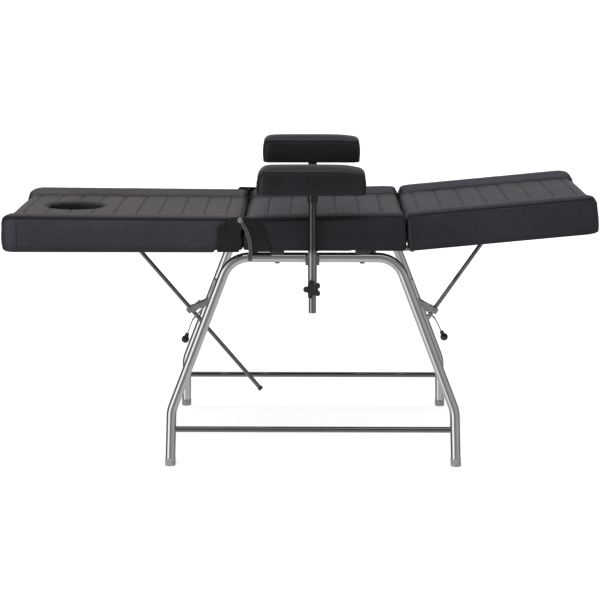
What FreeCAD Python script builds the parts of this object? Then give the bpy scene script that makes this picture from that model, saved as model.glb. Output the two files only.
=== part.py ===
import FreeCAD, Part
import math
import os
import re
import Sketcher
from FreeCAD import Placement, Rotation, Vector

# Tattoo chair: a three section padded bed on a bent tube stand, with two armrests.
# Frame: +X towards the leg end, +Y away from the near side, +Z up, millimetres.
# The origin lies on the floor under the middle of the whole length and width.

# Driving dimensions, in millimetres and degrees
DRIVING_SIZES = {
    # Side frames of bent tube
    "tube_diameter": 31.8,
    "tube_wall": 1.5,
    "rail_height": 672,
    "rail_spread": 556,
    "foot_spread": 676,
    "rail_overhang": 10,
    "rail_bend_radius": 88,
    "knee_reach": 455,
    "knee_height": 178,
    "knee_bend_radius": 100,
    "foot_reach": 461,
    "foot_tip_diameter": 33.8,
    "foot_tip_height": 24,
    "foot_tip_floor": 6,
    # Cross members
    "stretcher_diameter": 19,
    "stretcher_wall": 1.5,
    "stretcher_height": 117,
    "crossbar_diameter": 25.4,
    "crossbar_wall": 1.5,
    "crossbar_drop": 202,
    "seat_rail_setback": 74,
    "weld_gap": 0.1,
    # Bed sections
    "bed_width": 598,
    "section_thickness": 110,
    "seat_rise": 8,
    "leg_section_thickness": 122,
    "spacer_rise": 10.1,
    "board_thickness": 15,
    "board_setback": 5,
    "board_corner_radius": 8,
    "board_gap": 0.3,
    "seat_length": 508,
    "seat_offset": 36,
    "back_length": 759,
    "back_gap": 10,
    "leg_length": 597,
    "outer_corner_radius": 46,
    "inner_corner_radius": 9,
    "side_swell": 2,
    "shoulder_height": 84,
    "bolster_width": 80,
    "bolster_rise": 20,
    "panel_crown": 4,
    "end_draw": 4,
    "end_drop": 5,
    "end_run": 26,
    "channel_pitch": 73,
    "channel_depth": 2.5,
    "channel_radius": 6,
    "face_hole_length": 178,
    "face_hole_width": 146,
    "face_hole_setback": 196,
    # Fasteners and pivots
    "running_gap": 0.05,
    "layer_gap": 0.3,
    "seat_bolt_diameter": 8,
    "seat_bolt_head_inset": 103,
    "seat_bolt_foot_inset": 135,
    "bolt_head_height": 3,
    "spacer_length": 44,
    "spacer_width": 24,
    # Back hinge
    "pivot_setback": 11.7,
    "pivot_depth": 11,
    "pivot_diameter": 10,
    "pivot_head_diameter": 13,
    "pivot_head_height": 5,
    "pivot_washer_diameter": 16,
    "pivot_washer_height": 1.2,
    "plate_thickness": 4,
    "plate_boss_radius": 14,
    "plate_crest": 9,
    "plate_corner_radius": 5,
    "plate_flange_width": 36,
    "plate_flange_thickness": 3.7,
    "plate_flange_setback": 12,
    "seat_plate_length": 99,
    "seat_plate_top_length": 66,
    "back_plate_length": 74,
    "back_box_height": 66,
    "strap_thickness": 3,
    "strap_width": 12,
    "strap_reach": 30,
    "strap_bow": 12,
    "strap_lug_width": 14,
    "strap_lug_height": 10,
    # Leg hinge
    "leg_tilt": 5.5,
    "leg_hinge_gap": 26,
    "leg_hinge_drop": 10,
    "leg_setback": 9.5,
    "leg_hinge_spread": 400,
    "knuckle_diameter": 16,
    "knuckle_length": 20,
    "leg_pin_diameter": 6,
    "leaf_length": 64,
    "leaf_thickness": 4,
    # Support rods and their clamps
    "rod_diameter": 14,
    "eye_diameter": 24,
    "eye_width": 12,
    "rod_pin_diameter": 8,
    "back_pin_drop": 18,
    "leg_pin_drop": 28,
    "rod_cap_diameter": 17,
    "rod_cap_length": 10,
    "ear_thickness": 4,
    "bracket_base_length": 64,
    "head_clamp_reach": 71,
    "head_clamp_drop": 31.4,
    "foot_clamp_reach": 64.2,
    "foot_clamp_drop": 33,
    "back_rod_spare": 365,
    "leg_rod_spare": 33,
    "swivel_width": 26,
    "swivel_height": 18,
    "swivel_bore_gap": 0.25,
    "trunnion_diameter": 10,
    "clamp_plate_thickness": 4,
    "clamp_plate_radius": 8,
    "lever_tilt": 9.5,
    "lever_travel": 7,
    "lever_thickness": 4,
    "lever_width": 24,
    "lever_pin_diameter": 5,
    "lever_pin_reach": 38,
    "head_pin_drop": 12,
    "foot_pin_drop": 1,
    "lever_plate_drop": 9,
    "lever_plate_reach": 24,
    "lever_arm_length": 49,
    "lever_arm_width": 14,
    "lever_arm_turn": 20,
    "lever_slot_length": 17,
    "knob_diameter": 26,
    "knob_neck_diameter": 15,
    "knob_neck_length": 12,
    # Armrests
    "post_offset": -3,
    "post_spread": 660,
    "post_diameter": 24,
    "post_wall": 1.8,
    "post_drop": 166,
    "post_cap_length": 12,
    "sleeve_diameter": 28.4,
    "sleeve_drop": 110,
    "sleeve_rise": 30,
    "saddle_width": 44,
    "saddle_height": 30,
    "star_drop": 86,
    "star_diameter": 57,
    "star_thickness": 15,
    "star_lobe_diameter": 16,
    "star_boss_diameter": 18,
    "star_boss_length": 8,
    "stud_diameter": 8,
    "pad_length": 338,
    "pad_width": 130,
    "pad_offset": -4,
    "pad_rise": 82,
    "pad_thickness": 86,
    "pad_crown": 8,
    "far_arm_rise": 9,
    "pad_corner_radius": 26,
    "pad_shoulder": 24,
    "pad_board_thickness": 10,
    "pad_board_setback": 6,
    "flange_diameter": 84,
    "flange_thickness": 4,
    "hub_diameter": 31,
    "hub_length": 30,
    "small_screw_diameter": 4,
    "small_screw_length": 12,
    "small_screw_head": 8,
}

doc = FreeCAD.newDocument("TattooChair")
sheet = doc.addObject("Spreadsheet::Sheet", "Sizes")
for row, (alias, number) in enumerate(DRIVING_SIZES.items(), start=1):
    sheet.set("A%d" % row, alias)
    sheet.set("B%d" % row, str(number))
    sheet.setAlias("B%d" % row, alias)
doc.recompute()


class SheetReader:
    """Reads a driving size from the spreadsheet by its alias."""

    def __getattr__(self, alias):
        return float(sheet.get(alias))


size = SheetReader()
nodes = []

ALONG_X = Rotation(Vector(0, 1, 0), 90)
ALONG_Y = Rotation(Vector(1, 0, 0), -90)
UPRIGHT = Rotation(Vector(1, 0, 0), 90)
HALF_TURN = Rotation(Vector(0, 0, 1), 180)
NEAR, FAR = -1, 1
HEAD, FOOT = -1, 1


# Small helpers for bound primitives, booleans and sketches

def formula(text):
    """Puts the sheet's name before each alias in a formula."""
    def prefixed(match):
        word = match.group()
        return "Sizes." + word if word in DRIVING_SIZES else word
    return re.sub(r"[a-z]\w+", prefixed, text)


def set_size(item, name, value):
    """Binds a property to a formula, or sets a value worked out from the sheet."""
    if isinstance(value, str):
        item.setExpression(name, formula(value))
    else:
        setattr(item, name, value)


def at(x, y, z, turn=None):
    return Placement(Vector(x, y, z), turn or Rotation())


def cylinder(name, radius, length, place):
    item = doc.addObject("Part::Cylinder", name)
    set_size(item, "Radius", radius)
    set_size(item, "Height", length)
    item.Placement = place
    return item


def cone(name, radius_low, radius_high, length, place):
    item = doc.addObject("Part::Cone", name)
    set_size(item, "Radius1", radius_low)
    set_size(item, "Radius2", radius_high)
    set_size(item, "Height", length)
    item.Placement = place
    return item


def ball(name, radius, place):
    item = doc.addObject("Part::Sphere", name)
    set_size(item, "Radius", radius)
    item.Placement = place
    return item


def box(name, length, width, height, place):
    item = doc.addObject("Part::Box", name)
    set_size(item, "Length", length)
    set_size(item, "Width", width)
    set_size(item, "Height", height)
    item.Placement = place
    return item


def bar(name, radius, start, end):
    """A round bar between two points."""
    run = end - start
    return cylinder(name, radius, run.Length, Placement(start, Rotation(Vector(0, 0, 1), run)))


def fused(name, *parts):
    item = doc.addObject("Part::MultiFuse", name)
    item.Shapes = list(parts)
    return item


def cut(name, base, *tools):
    item = doc.addObject("Part::Cut", name)
    item.Base = base
    item.Tool = tools[0] if len(tools) == 1 else fused(name + "_tools", *tools)
    return item


def group(name, *parts):
    item = doc.addObject("Part::Compound", name)
    item.Links = list(parts)
    return item


def mirrored(name, source):
    """The same piece on the far side."""
    item = doc.addObject("Part::Mirroring", name)
    item.Source = source
    item.Normal = Vector(0, 1, 0)
    return item


def far_arm_piece(label, source):
    """The far armrest's copy of a near piece, set higher on its sliding post."""
    item = group(label + "_raised", mirrored(label + "_mirrored", source))
    item.Placement = at(0, 0, size.far_arm_rise)
    return node(label, item)


def node(label, item):
    item.Label = label
    nodes.append(item)
    return item


def corner_arc(before, corner, after, radius):
    """Start, middle and end of the arc that rounds a corner."""
    back = (before - corner).normalize()
    ahead = (after - corner).normalize()
    half = back.getAngle(ahead) / 2
    reach = radius / math.tan(half)
    inward = (back + ahead).normalize()
    centre = corner + inward * (radius / math.sin(half))
    return corner + back * reach, centre - inward * radius, corner + ahead * reach


def rounded_edges(corners, closed=True):
    """Lines and arcs of an outline; each corner is (x, y, radius)."""
    points = [Vector(x, y, 0) for x, y, _ in corners]
    count = len(points)
    stops = []
    for index, (_, _, radius) in enumerate(corners):
        inner = closed or 0 < index < count - 1
        if radius and inner:
            stops.append(corner_arc(points[index - 1], points[index], points[(index + 1) % count], radius))
        else:
            stops.append((points[index], None, points[index]))
    edges = []
    for index, (start, middle, end) in enumerate(stops):
        if middle:
            edges.append(Part.Arc(start, middle, end))
        if index + 1 < count or closed:
            following = stops[(index + 1) % count][0]
            edges.append(Part.LineSegment(end, following))
    return edges


def draw(body, plane_role, name, edges):
    """A sketch on one of the body's own planes, its edges joined end to end."""
    sketch = body.newObject("Sketcher::SketchObject", name)
    plane = [item for item in body.Origin.OriginFeatures if item.Role == plane_role][0]
    sketch.AttachmentSupport = (plane, "")
    sketch.MapMode = "FlatFace"
    sketch.addGeometry(edges, False)
    ends = [(index, position, sketch.getPoint(index, position))
            for index in range(len(edges)) for position in (1, 2)]
    for first, (index, position, point) in enumerate(ends):
        for other, place, target in ends[first + 1:]:
            if other != index and point.distanceToPoint(target) < Part.Vertex(point).Tolerance:
                sketch.addConstraint(Sketcher.Constraint("Coincident", index, position, other, place))
    return sketch


def prism(name, corners, thickness, place, plane_role="XY_Plane"):
    """A plate padded from a rounded outline."""
    body = doc.addObject("PartDesign::Body", name)
    sketch = draw(body, plane_role, name + "_outline", rounded_edges(corners))
    pad = body.newObject("PartDesign::Pad", name + "_pad")
    pad.Profile = sketch
    set_size(pad, "Length", thickness)
    body.Placement = place
    return body


def shaped(name, shape, place=None):
    item = doc.addObject("Part::Feature", name)
    item.Shape = shape
    item.Placement = place or Placement()
    return item


def arc_edge(start, middle, end):
    return Part.Arc(start, middle, end).toShape()


# Places worked out from the driving sizes

tube_radius = size.tube_diameter / 2
board_underside = size.rail_height + tube_radius + size.spacer_rise
crossbar_height = size.rail_height - size.crossbar_drop
rail_corner_reach = size.seat_length / 2 + size.rail_overhang
seat_rail_reach = rail_corner_reach - size.seat_rail_setback
seat_start = size.seat_offset - size.seat_length / 2
seat_end = size.seat_offset + size.seat_length / 2
leg_hinge_reach = seat_end + size.leg_hinge_gap
back_end = seat_start - size.back_gap
back_start = back_end - size.back_length
board_top = board_underside + size.board_thickness
crest_height = board_underside + size.section_thickness
half_bed = size.bed_width / 2
pivot_x = seat_start - size.pivot_setback
pivot_z = crest_height - size.pivot_depth
leg_hinge_z = board_underside - size.leg_hinge_drop
rail_y = size.rail_spread / 2
lean = math.degrees(math.atan2((size.foot_spread - size.rail_spread) / 2, size.rail_height))
splay = math.atan2(size.foot_reach - size.knee_reach, size.knee_height)
leg_slope = (size.knee_reach - rail_corner_reach) / (size.rail_height - size.knee_height)


def frame_y(height):
    """How far out the leaning side frame is at a height."""
    return size.foot_spread / 2 - height * math.tan(math.radians(lean))


def foot_point(side_x, side_y, height):
    reach = size.foot_reach - height * math.tan(splay)
    return Vector(side_x * reach, side_y * frame_y(height), height)


def leg_point(side_x, side_y, height):
    reach = size.knee_reach - (height - size.knee_height) * leg_slope
    return Vector(side_x * reach, side_y * frame_y(height), height)


# Padded sections: sections across the bed, lofted along it

end_steps = 5


def end_stations(start, end):
    """Places along a pad, each with the share of the end's draw-in that it has."""
    eased = [(size.end_run * step / end_steps, (1 - step / end_steps) ** 2) for step in range(end_steps + 1)]
    return [(start + run, share) for run, share in eased] + [(end - run, share) for run, share in eased[::-1]]


def section_wire(x, half_width, low, thickness):
    """Outline across a section: swelling sides, two bolsters and a lower crowned panel."""
    crest = thickness
    shoulder = crest - (size.section_thickness - size.shoulder_height)
    valley = crest - size.bolster_rise
    crest_share, outer_share, inner_share = 0.45, 0.17, 0.75
    lip = crest - size.panel_crown
    spots = [
        (half_width, 0),
        (half_width, shoulder),
        (half_width - size.bolster_width * outer_share, lip),
        (half_width - size.bolster_width * inner_share, lip),
        (half_width - size.bolster_width, valley),
    ]
    side = (half_width + size.side_swell, shoulder / 2)
    edge = (half_width - size.side_swell * 2, (shoulder + lip) / 2 + size.panel_crown)
    top = (half_width - size.bolster_width * crest_share, crest)

    def spot(place, sign):
        return Vector(x, sign * place[0], low + place[1])

    edges = []
    for sign in (NEAR, FAR):
        edges.append(arc_edge(spot(spots[0], sign), spot(side, sign), spot(spots[1], sign)))
        edges.append(arc_edge(spot(spots[1], sign), spot(edge, sign), spot(spots[2], sign)))
        edges.append(arc_edge(spot(spots[2], sign), spot(top, sign), spot(spots[3], sign)))
        edges.append(Part.LineSegment(spot(spots[3], sign), spot(spots[4], sign)).toShape())
    panel_middle = Vector(x, 0, low + valley + size.panel_crown)
    edges.append(arc_edge(spot(spots[4], NEAR), panel_middle, spot(spots[4], FAR)))
    edges.append(Part.LineSegment(spot(spots[0], NEAR), spot(spots[0], FAR)).toShape())
    return Part.Wire(Part.__sortEdges__(edges))


def plan_prism(start, end, half_width, start_radius, end_radius, low, height):
    """Upright prism with the rounded corners that the section has seen from above."""
    corners = [
        (start, -half_width, start_radius),
        (end, -half_width, end_radius),
        (end, half_width, end_radius),
        (start, half_width, start_radius),
    ]
    edges = [edge.toShape() for edge in rounded_edges(corners)]
    face = Part.Face(Part.Wire(Part.__sortEdges__(edges)))
    face.translate(Vector(0, 0, low))
    return face.extrude(Vector(0, 0, height))


def section_cushion(start, end, start_radius, end_radius, low, start_thickness, end_thickness):
    """A padded section with its crown, drawn-in ends, channels and the recess for its board."""
    half_width = half_bed - size.side_swell

    def thickness_at(x):
        return start_thickness + (end_thickness - start_thickness) * (x - start) / (end - start)

    wires = []
    for x, share in end_stations(start, end):
        wires.append(section_wire(x, half_width - size.end_draw * share, low,
                                  thickness_at(x) - size.end_drop * share))
    solid = Part.makeLoft(wires, True, True)
    clear = max(start_thickness, end_thickness)
    solid = solid.common(plan_prism(start, end, half_bed + size.side_swell, start_radius, end_radius,
                                    low - clear, clear * 3))
    channel_half = half_bed - size.bolster_width - size.channel_radius
    count = int((end - start) / size.channel_pitch)
    first = (start + end) / 2 - (count - 1) * size.channel_pitch / 2
    for index in range(count):
        x = first + index * size.channel_pitch
        panel = low + thickness_at(x) - size.bolster_rise + size.panel_crown
        centre = Vector(x, -channel_half, panel + size.channel_radius - size.channel_depth)
        solid = solid.cut(Part.makeCylinder(size.channel_radius, channel_half * 2, centre, Vector(0, 1, 0)))
    gap = size.board_setback - size.board_gap
    recess = plan_prism(start + gap, end - gap, half_bed - gap, start_radius, end_radius, low,
                        size.board_thickness + size.board_gap)
    return solid.cut(recess)


def section_board(name, start, end, start_radius, end_radius, place):
    """The plywood board under a section."""
    edge = half_bed - size.board_setback
    head, foot = start + size.board_setback, end - size.board_setback
    corners = [(head, -edge, start_radius), (foot, -edge, end_radius),
               (foot, edge, end_radius), (head, edge, start_radius)]
    return prism(name, corners, "board_thickness", place)


leg_turn = Rotation(Vector(0, 1, 0), -size.leg_tilt)
leg_start = -size.leg_setback
leg_end = leg_start + size.leg_length
leg_cushion_shape = section_cushion(leg_start, leg_end, size.inner_corner_radius,
                                    size.outer_corner_radius, size.leg_hinge_drop,
                                    size.leg_section_thickness, size.leg_section_thickness)
back_cushion_shape = section_cushion(back_start, back_end, size.outer_corner_radius,
                                     size.inner_corner_radius, board_underside,
                                     size.section_thickness, size.section_thickness)
seat_cushion_shape = section_cushion(seat_start, seat_end, size.inner_corner_radius,
                                     size.inner_corner_radius, board_underside,
                                     size.section_thickness, size.section_thickness + size.seat_rise)

# The stand's centre stands where the whole length comes out even about the origin
leg_probe = leg_cushion_shape.copy()
leg_probe.Placement = Placement(Vector(leg_hinge_reach, 0, leg_hinge_z), leg_turn)
stand_x = -(back_cushion_shape.BoundBox.XMin + leg_probe.BoundBox.XMax) / 2
STAND = at(stand_x, 0, 0)
LEG = at(stand_x + leg_hinge_reach, 0, leg_hinge_z, leg_turn)


def on_stand(x, y, z, turn=None):
    return at(stand_x + x, y, z, turn)


def on_leg(x, y, z, turn=None):
    return LEG * at(x, y, z, turn)


# Face hole: an oval through the back cushion and its board

face_hole_x = back_start + size.face_hole_setback


def oval_prism(height):
    """An upright oval: a unit cylinder stretched to the hole's length and width."""
    stretch = FreeCAD.Matrix()
    stretch.scale(size.face_hole_length / 2, size.face_hole_width / 2, height)
    return Part.makeCylinder(1, 1).transformGeometry(stretch)


cushion_hole = oval_prism(size.section_thickness)
cushion_hole.translate(Vector(face_hole_x, 0, board_underside))
back_cushion_shape = back_cushion_shape.cut(cushion_hole)

node("seat_cushion", shaped("seat_cushion", seat_cushion_shape, STAND))
node("back_cushion", shaped("back_cushion", back_cushion_shape, STAND))
node("leg_cushion", shaped("leg_cushion", leg_cushion_shape, LEG))

# Side frames: half the path is swept from the middle of the rail and mirrored


def side_frame(label, side):
    body = doc.addObject("PartDesign::Body", label + "_tube")
    stretch = 1 / math.cos(math.radians(lean))
    end_height = size.foot_tip_floor
    path_corners = [
        (0, size.rail_height * stretch, 0),
        (rail_corner_reach, size.rail_height * stretch, size.rail_bend_radius),
        (size.knee_reach, size.knee_height * stretch, size.knee_bend_radius),
        (size.foot_reach - end_height * math.tan(splay), end_height * stretch, 0),
    ]
    path = draw(body, "XZ_Plane", label + "_path", rounded_edges(path_corners, closed=False))
    centre = Vector(0, size.rail_height * stretch, 0)
    circles = [Part.Circle(centre, Vector(0, 0, 1), tube_radius),
               Part.Circle(centre, Vector(0, 0, 1), tube_radius - size.tube_wall)]
    ring = body.newObject("Sketcher::SketchObject", label + "_ring")
    plane = [item for item in body.Origin.OriginFeatures if item.Role == "YZ_Plane"][0]
    ring.AttachmentSupport = (plane, "")
    ring.MapMode = "FlatFace"
    ring.addGeometry(circles, False)
    for index, text in enumerate(("tube_diameter / 2", "tube_diameter / 2 - tube_wall")):
        number = ring.addConstraint(Sketcher.Constraint("Radius", index, circles[index].Radius))
        ring.setExpression("Constraints[%d]" % number, formula(text))
    doc.recompute()
    pipe = body.newObject("PartDesign::AdditivePipe", label + "_pipe")
    pipe.Profile = ring
    pipe.Spine = path
    doc.recompute()
    both = body.newObject("PartDesign::Mirrored", label + "_mirrored")
    both.Originals = [pipe]
    both.MirrorPlane = (plane, [""])
    body.Tip = both
    body.Placement = on_stand(0, side * size.foot_spread / 2, 0, Rotation(Vector(1, 0, 0), side * lean))
    holes = [cylinder("%s_hole_%d" % (label, index), "seat_bolt_diameter / 2 + running_gap",
                      "tube_diameter * 2", on_stand(x, side * rail_y, size.rail_height - size.tube_diameter))
             for index, x in enumerate(seat_bolt_reaches)]
    return cut(label, body, *holes)


seat_bolt_reaches = [seat_start + size.seat_bolt_head_inset, seat_end - size.seat_bolt_foot_inset]
for label, side in (("near_side_frame", NEAR), ("far_side_frame", FAR)):
    node(label, side_frame(label, side))

# Foot tips: cups round the tube ends, cut flat at the floor


def foot_tip(index, side_x, side_y):
    low = foot_point(side_x, side_y, -size.foot_tip_height)
    floor = foot_point(side_x, side_y, size.foot_tip_floor)
    high = foot_point(side_x, side_y, size.foot_tip_height)
    above = foot_point(side_x, side_y, size.foot_tip_height * 2)
    name = "foot_tip_%d" % index
    ground = box(name + "_ground", "foot_spread", "foot_spread", "foot_spread",
                 at(side_x * size.foot_reach - size.foot_spread / 2,
                    side_y * size.foot_spread / 2 - size.foot_spread / 2, -size.foot_spread))
    tip = cut(name, bar(name + "_cup", "foot_tip_diameter / 2", low, high), ground,
              bar(name + "_bore", "tube_diameter / 2 + running_gap", floor, above))
    tip.Placement = STAND
    return tip


corners_of_stand = [(side_x, side_y) for side_x in (HEAD, FOOT) for side_y in (NEAR, FAR)]
node("foot_tips", group("foot_tips", *[foot_tip(index, side_x, side_y)
                                       for index, (side_x, side_y) in enumerate(corners_of_stand)]))

# Cross members, coped to the tubes that they meet


def coped_tube(label, diameter, wall, start, end, envelopes):
    outer = bar(label + "_outer", diameter + " / 2", start, end)
    inner = bar(label + "_inner", diameter + " / 2 - " + wall, start, end)
    tools = [bar("%s_cope_%d" % (label, index), "tube_diameter / 2 + weld_gap", low, high)
             for index, (low, high) in enumerate(envelopes)]
    tube = cut(label, outer, inner, *tools)
    tube.Placement = STAND
    return node(label, tube)


reach_high = size.stretcher_height * 1.4
for label, side in (("near_stretcher", NEAR), ("far_stretcher", FAR)):
    coped_tube(label, "stretcher_diameter", "stretcher_wall",
               foot_point(HEAD, side, size.stretcher_height), foot_point(FOOT, side, size.stretcher_height),
               [(foot_point(end, side, 0), foot_point(end, side, reach_high)) for end in (HEAD, FOOT)])
for label, end in (("head_crossbar", HEAD), ("foot_crossbar", FOOT)):
    coped_tube(label, "crossbar_diameter", "crossbar_wall",
               leg_point(end, NEAR, crossbar_height), leg_point(end, FAR, crossbar_height),
               [(leg_point(end, side, crossbar_height - size.tube_diameter * 2),
                 leg_point(end, side, crossbar_height + size.tube_diameter * 2)) for side in (NEAR, FAR)])
for label, end in (("head_seat_rail", HEAD), ("foot_seat_rail", FOOT)):
    reach = end * seat_rail_reach
    lap = size.tube_diameter
    coped_tube(label, "crossbar_diameter", "crossbar_wall",
               Vector(reach, -rail_y, size.rail_height), Vector(reach, rail_y, size.rail_height),
               [(Vector(reach - lap, side * rail_y, size.rail_height),
                 Vector(reach + lap, side * rail_y, size.rail_height)) for side in (NEAR, FAR)])

# Boards under the sections

seat_bolt_spots = [(x, side * rail_y) for x in seat_bolt_reaches for side in (NEAR, FAR)]
rail_top = size.rail_height + tube_radius
board_depth_share = 0.7


def bolt_holes(name, low, height):
    return [cylinder("%s_%d" % (name, index), "seat_bolt_diameter / 2 + running_gap", height,
                     on_stand(x, y, low)) for index, (x, y) in enumerate(seat_bolt_spots)]


board_inner_radius = size.board_corner_radius
board_outer_radius = size.outer_corner_radius
seat_plain = section_board("seat_board_plain", seat_start, seat_end, board_inner_radius, board_inner_radius,
                           on_stand(0, 0, board_underside))
node("seat_board", cut("seat_board", seat_plain,
                       *bolt_holes("seat_board_hole", board_underside,
                                   size.board_thickness * board_depth_share)))
back_plain = section_board("back_board_plain", back_start, back_end, board_outer_radius, board_inner_radius,
                           on_stand(0, 0, board_underside))
board_hole = shaped("back_board_hole", oval_prism(size.board_thickness * 3),
                    on_stand(face_hole_x, 0, board_underside - size.board_thickness))
node("back_board", cut("back_board", back_plain, board_hole))
node("leg_board", section_board("leg_board", leg_start, leg_end, board_inner_radius, board_outer_radius,
                                on_leg(0, 0, size.leg_hinge_drop)))

# Spacers and bolts between the rails and the seat board

spacer_height = board_underside - rail_top


def spacer(index, x, y):
    name = "seat_spacer_%d" % index
    saddle = bar(name + "_cope", "tube_diameter / 2 + weld_gap",
                 Vector(x - size.spacer_length, y, size.rail_height),
                 Vector(x + size.spacer_length, y, size.rail_height))
    block = box(name + "_block", "spacer_length", "spacer_width", spacer_height + tube_radius / 2,
                at(x - size.spacer_length / 2, y - size.spacer_width / 2, rail_top - tube_radius / 2))
    hole = cylinder(name + "_hole", "seat_bolt_diameter / 2 + running_gap", "tube_diameter",
                    at(x, y, rail_top - tube_radius / 2))
    item = cut(name, block, saddle, hole)
    item.Placement = STAND
    return item


def seat_bolt(index, x, y):
    name = "seat_bolt_%d" % index
    tip = board_underside + size.board_thickness * board_depth_share - size.layer_gap
    rail_low = size.rail_height - tube_radius
    shank = cylinder(name + "_shank", "seat_bolt_diameter / 2", tip - rail_low + size.bolt_head_height,
                     on_stand(x, y, rail_low - size.bolt_head_height))
    head = cylinder(name + "_head", "seat_bolt_diameter", "bolt_head_height",
                    on_stand(x, y, rail_low - size.bolt_head_height - size.weld_gap))
    return fused(name, shank, head)


node("seat_spacers", group("seat_spacers", *[spacer(index, x, y)
                                             for index, (x, y) in enumerate(seat_bolt_spots)]))
node("seat_bolts", group("seat_bolts", *[seat_bolt(index, x, y)
                                         for index, (x, y) in enumerate(seat_bolt_spots)]))

# Back hinge: layers outward from the cushion's side, near side first, then mirrored

seat_layer = half_bed + size.side_swell / 2
back_layer = seat_layer + size.plate_thickness + size.layer_gap
strap_layer = back_layer + size.plate_thickness + size.layer_gap
washer_layer = strap_layer + size.strap_thickness + size.weld_gap
head_layer = washer_layer + size.pivot_washer_height
flange_low = board_underside - size.plate_flange_thickness - size.weld_gap
plate_drop = pivot_z - flange_low


def on_pivot(layer, turn=None):
    """A place at the pivot, on the near side, at a layer's inner face."""
    return on_stand(pivot_x, -layer, pivot_z, turn)


def near_plate(name, corners, layer, thickness):
    """An upright plate whose outline is drawn from the pivot, X along the bed and Y up."""
    return prism(name, corners, thickness, on_pivot(layer, UPRIGHT))


def pivot_bore(name, gap):
    return cylinder(name, "pivot_diameter / 2 + " + gap, "plate_thickness * 12",
                    on_pivot(seat_layer + size.plate_thickness * 6, ALONG_Y))


boss = size.plate_boss_radius
crest = size.plate_crest
eye_rounding = (boss + crest) / 2 * 0.98
seat_plate_outline = [
    (-boss, crest, eye_rounding),
    (-boss, -boss, eye_rounding),
    (size.strap_reach - boss / 2, -boss * 2.6, size.plate_corner_radius),
    (size.strap_reach, -plate_drop, 0),
    (size.seat_plate_length, -plate_drop, 0),
    (size.seat_plate_top_length, -boss, size.plate_corner_radius * 2),
    (boss * 2, crest, size.plate_corner_radius * 2),
]
seat_flange_length = size.seat_plate_length - size.strap_reach - size.plate_flange_setback
seat_plate_face = near_plate("seat_plate_face", seat_plate_outline, seat_layer, "plate_thickness")
seat_flange = box("seat_plate_flange", seat_flange_length, "plate_flange_width",
                  "plate_flange_thickness",
                  on_stand(pivot_x + size.strap_reach, -seat_layer - size.plate_thickness, flange_low))
near_seat_plate = cut("near_seat_plate", fused("near_seat_plate_body", seat_plate_face, seat_flange),
                      pivot_bore("near_seat_plate_bore", "running_gap"))
node("seat_hinge_plates", group("seat_hinge_plates", near_seat_plate,
                                mirrored("far_seat_plate", near_seat_plate)))

back_arm_outline = [
    (boss, crest, eye_rounding),
    (-boss * 2, crest, size.plate_corner_radius),
    (-size.back_plate_length, -boss * 2, size.plate_corner_radius),
    (-size.back_plate_length, -boss * 3.4, 0),
    (-size.plate_corner_radius, -boss * 3.4, 0),
    (boss, -boss, eye_rounding),
]
box_top = -plate_drop + size.back_box_height
back_box_outline = [
    (-size.plate_corner_radius, box_top, 0),
    (-size.back_plate_length + size.plate_corner_radius * 3, box_top, 0),
    (-size.back_plate_length, box_top - size.plate_corner_radius * 2, 0),
    (-size.back_plate_length, -plate_drop, 0),
    (-size.plate_corner_radius, -plate_drop, 0),
]
back_arm = near_plate("back_plate_arm", back_arm_outline, back_layer, "plate_thickness")
back_box = near_plate("back_plate_box", back_box_outline, seat_layer, "plate_thickness * 2 + layer_gap")
back_flange = box("back_plate_flange", size.back_plate_length - size.plate_corner_radius,
                  "plate_flange_width", "plate_flange_thickness",
                  on_stand(pivot_x - size.back_plate_length, -seat_layer - size.plate_thickness, flange_low))
near_back_plate = cut("near_back_plate", fused("near_back_plate_body", back_arm, back_box, back_flange),
                      pivot_bore("near_back_plate_bore", "running_gap"))
node("back_hinge_plates", group("back_hinge_plates", near_back_plate,
                                mirrored("far_back_plate", near_back_plate)))

pivot_shank = cylinder("pivot_shank", "pivot_diameter / 2",
                       head_layer - seat_layer + size.pivot_washer_height,
                       on_pivot(head_layer + size.pivot_washer_height, ALONG_Y))
pivot_head = cone("pivot_head", "pivot_head_diameter / 3", "pivot_head_diameter / 2", "pivot_head_height",
                  on_pivot(head_layer + size.pivot_head_height, ALONG_Y))
pivot_collar = cylinder("pivot_collar", "pivot_washer_diameter / 2", "pivot_washer_height",
                        on_pivot(head_layer, ALONG_Y))
near_pivot = fused("near_pivot_bolt", pivot_shank, pivot_collar, pivot_head)
node("back_pivot_bolts", group("back_pivot_bolts", near_pivot, mirrored("far_pivot_bolt", near_pivot)))

# Curved strap from the pivot down to a lug on the rail


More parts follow.
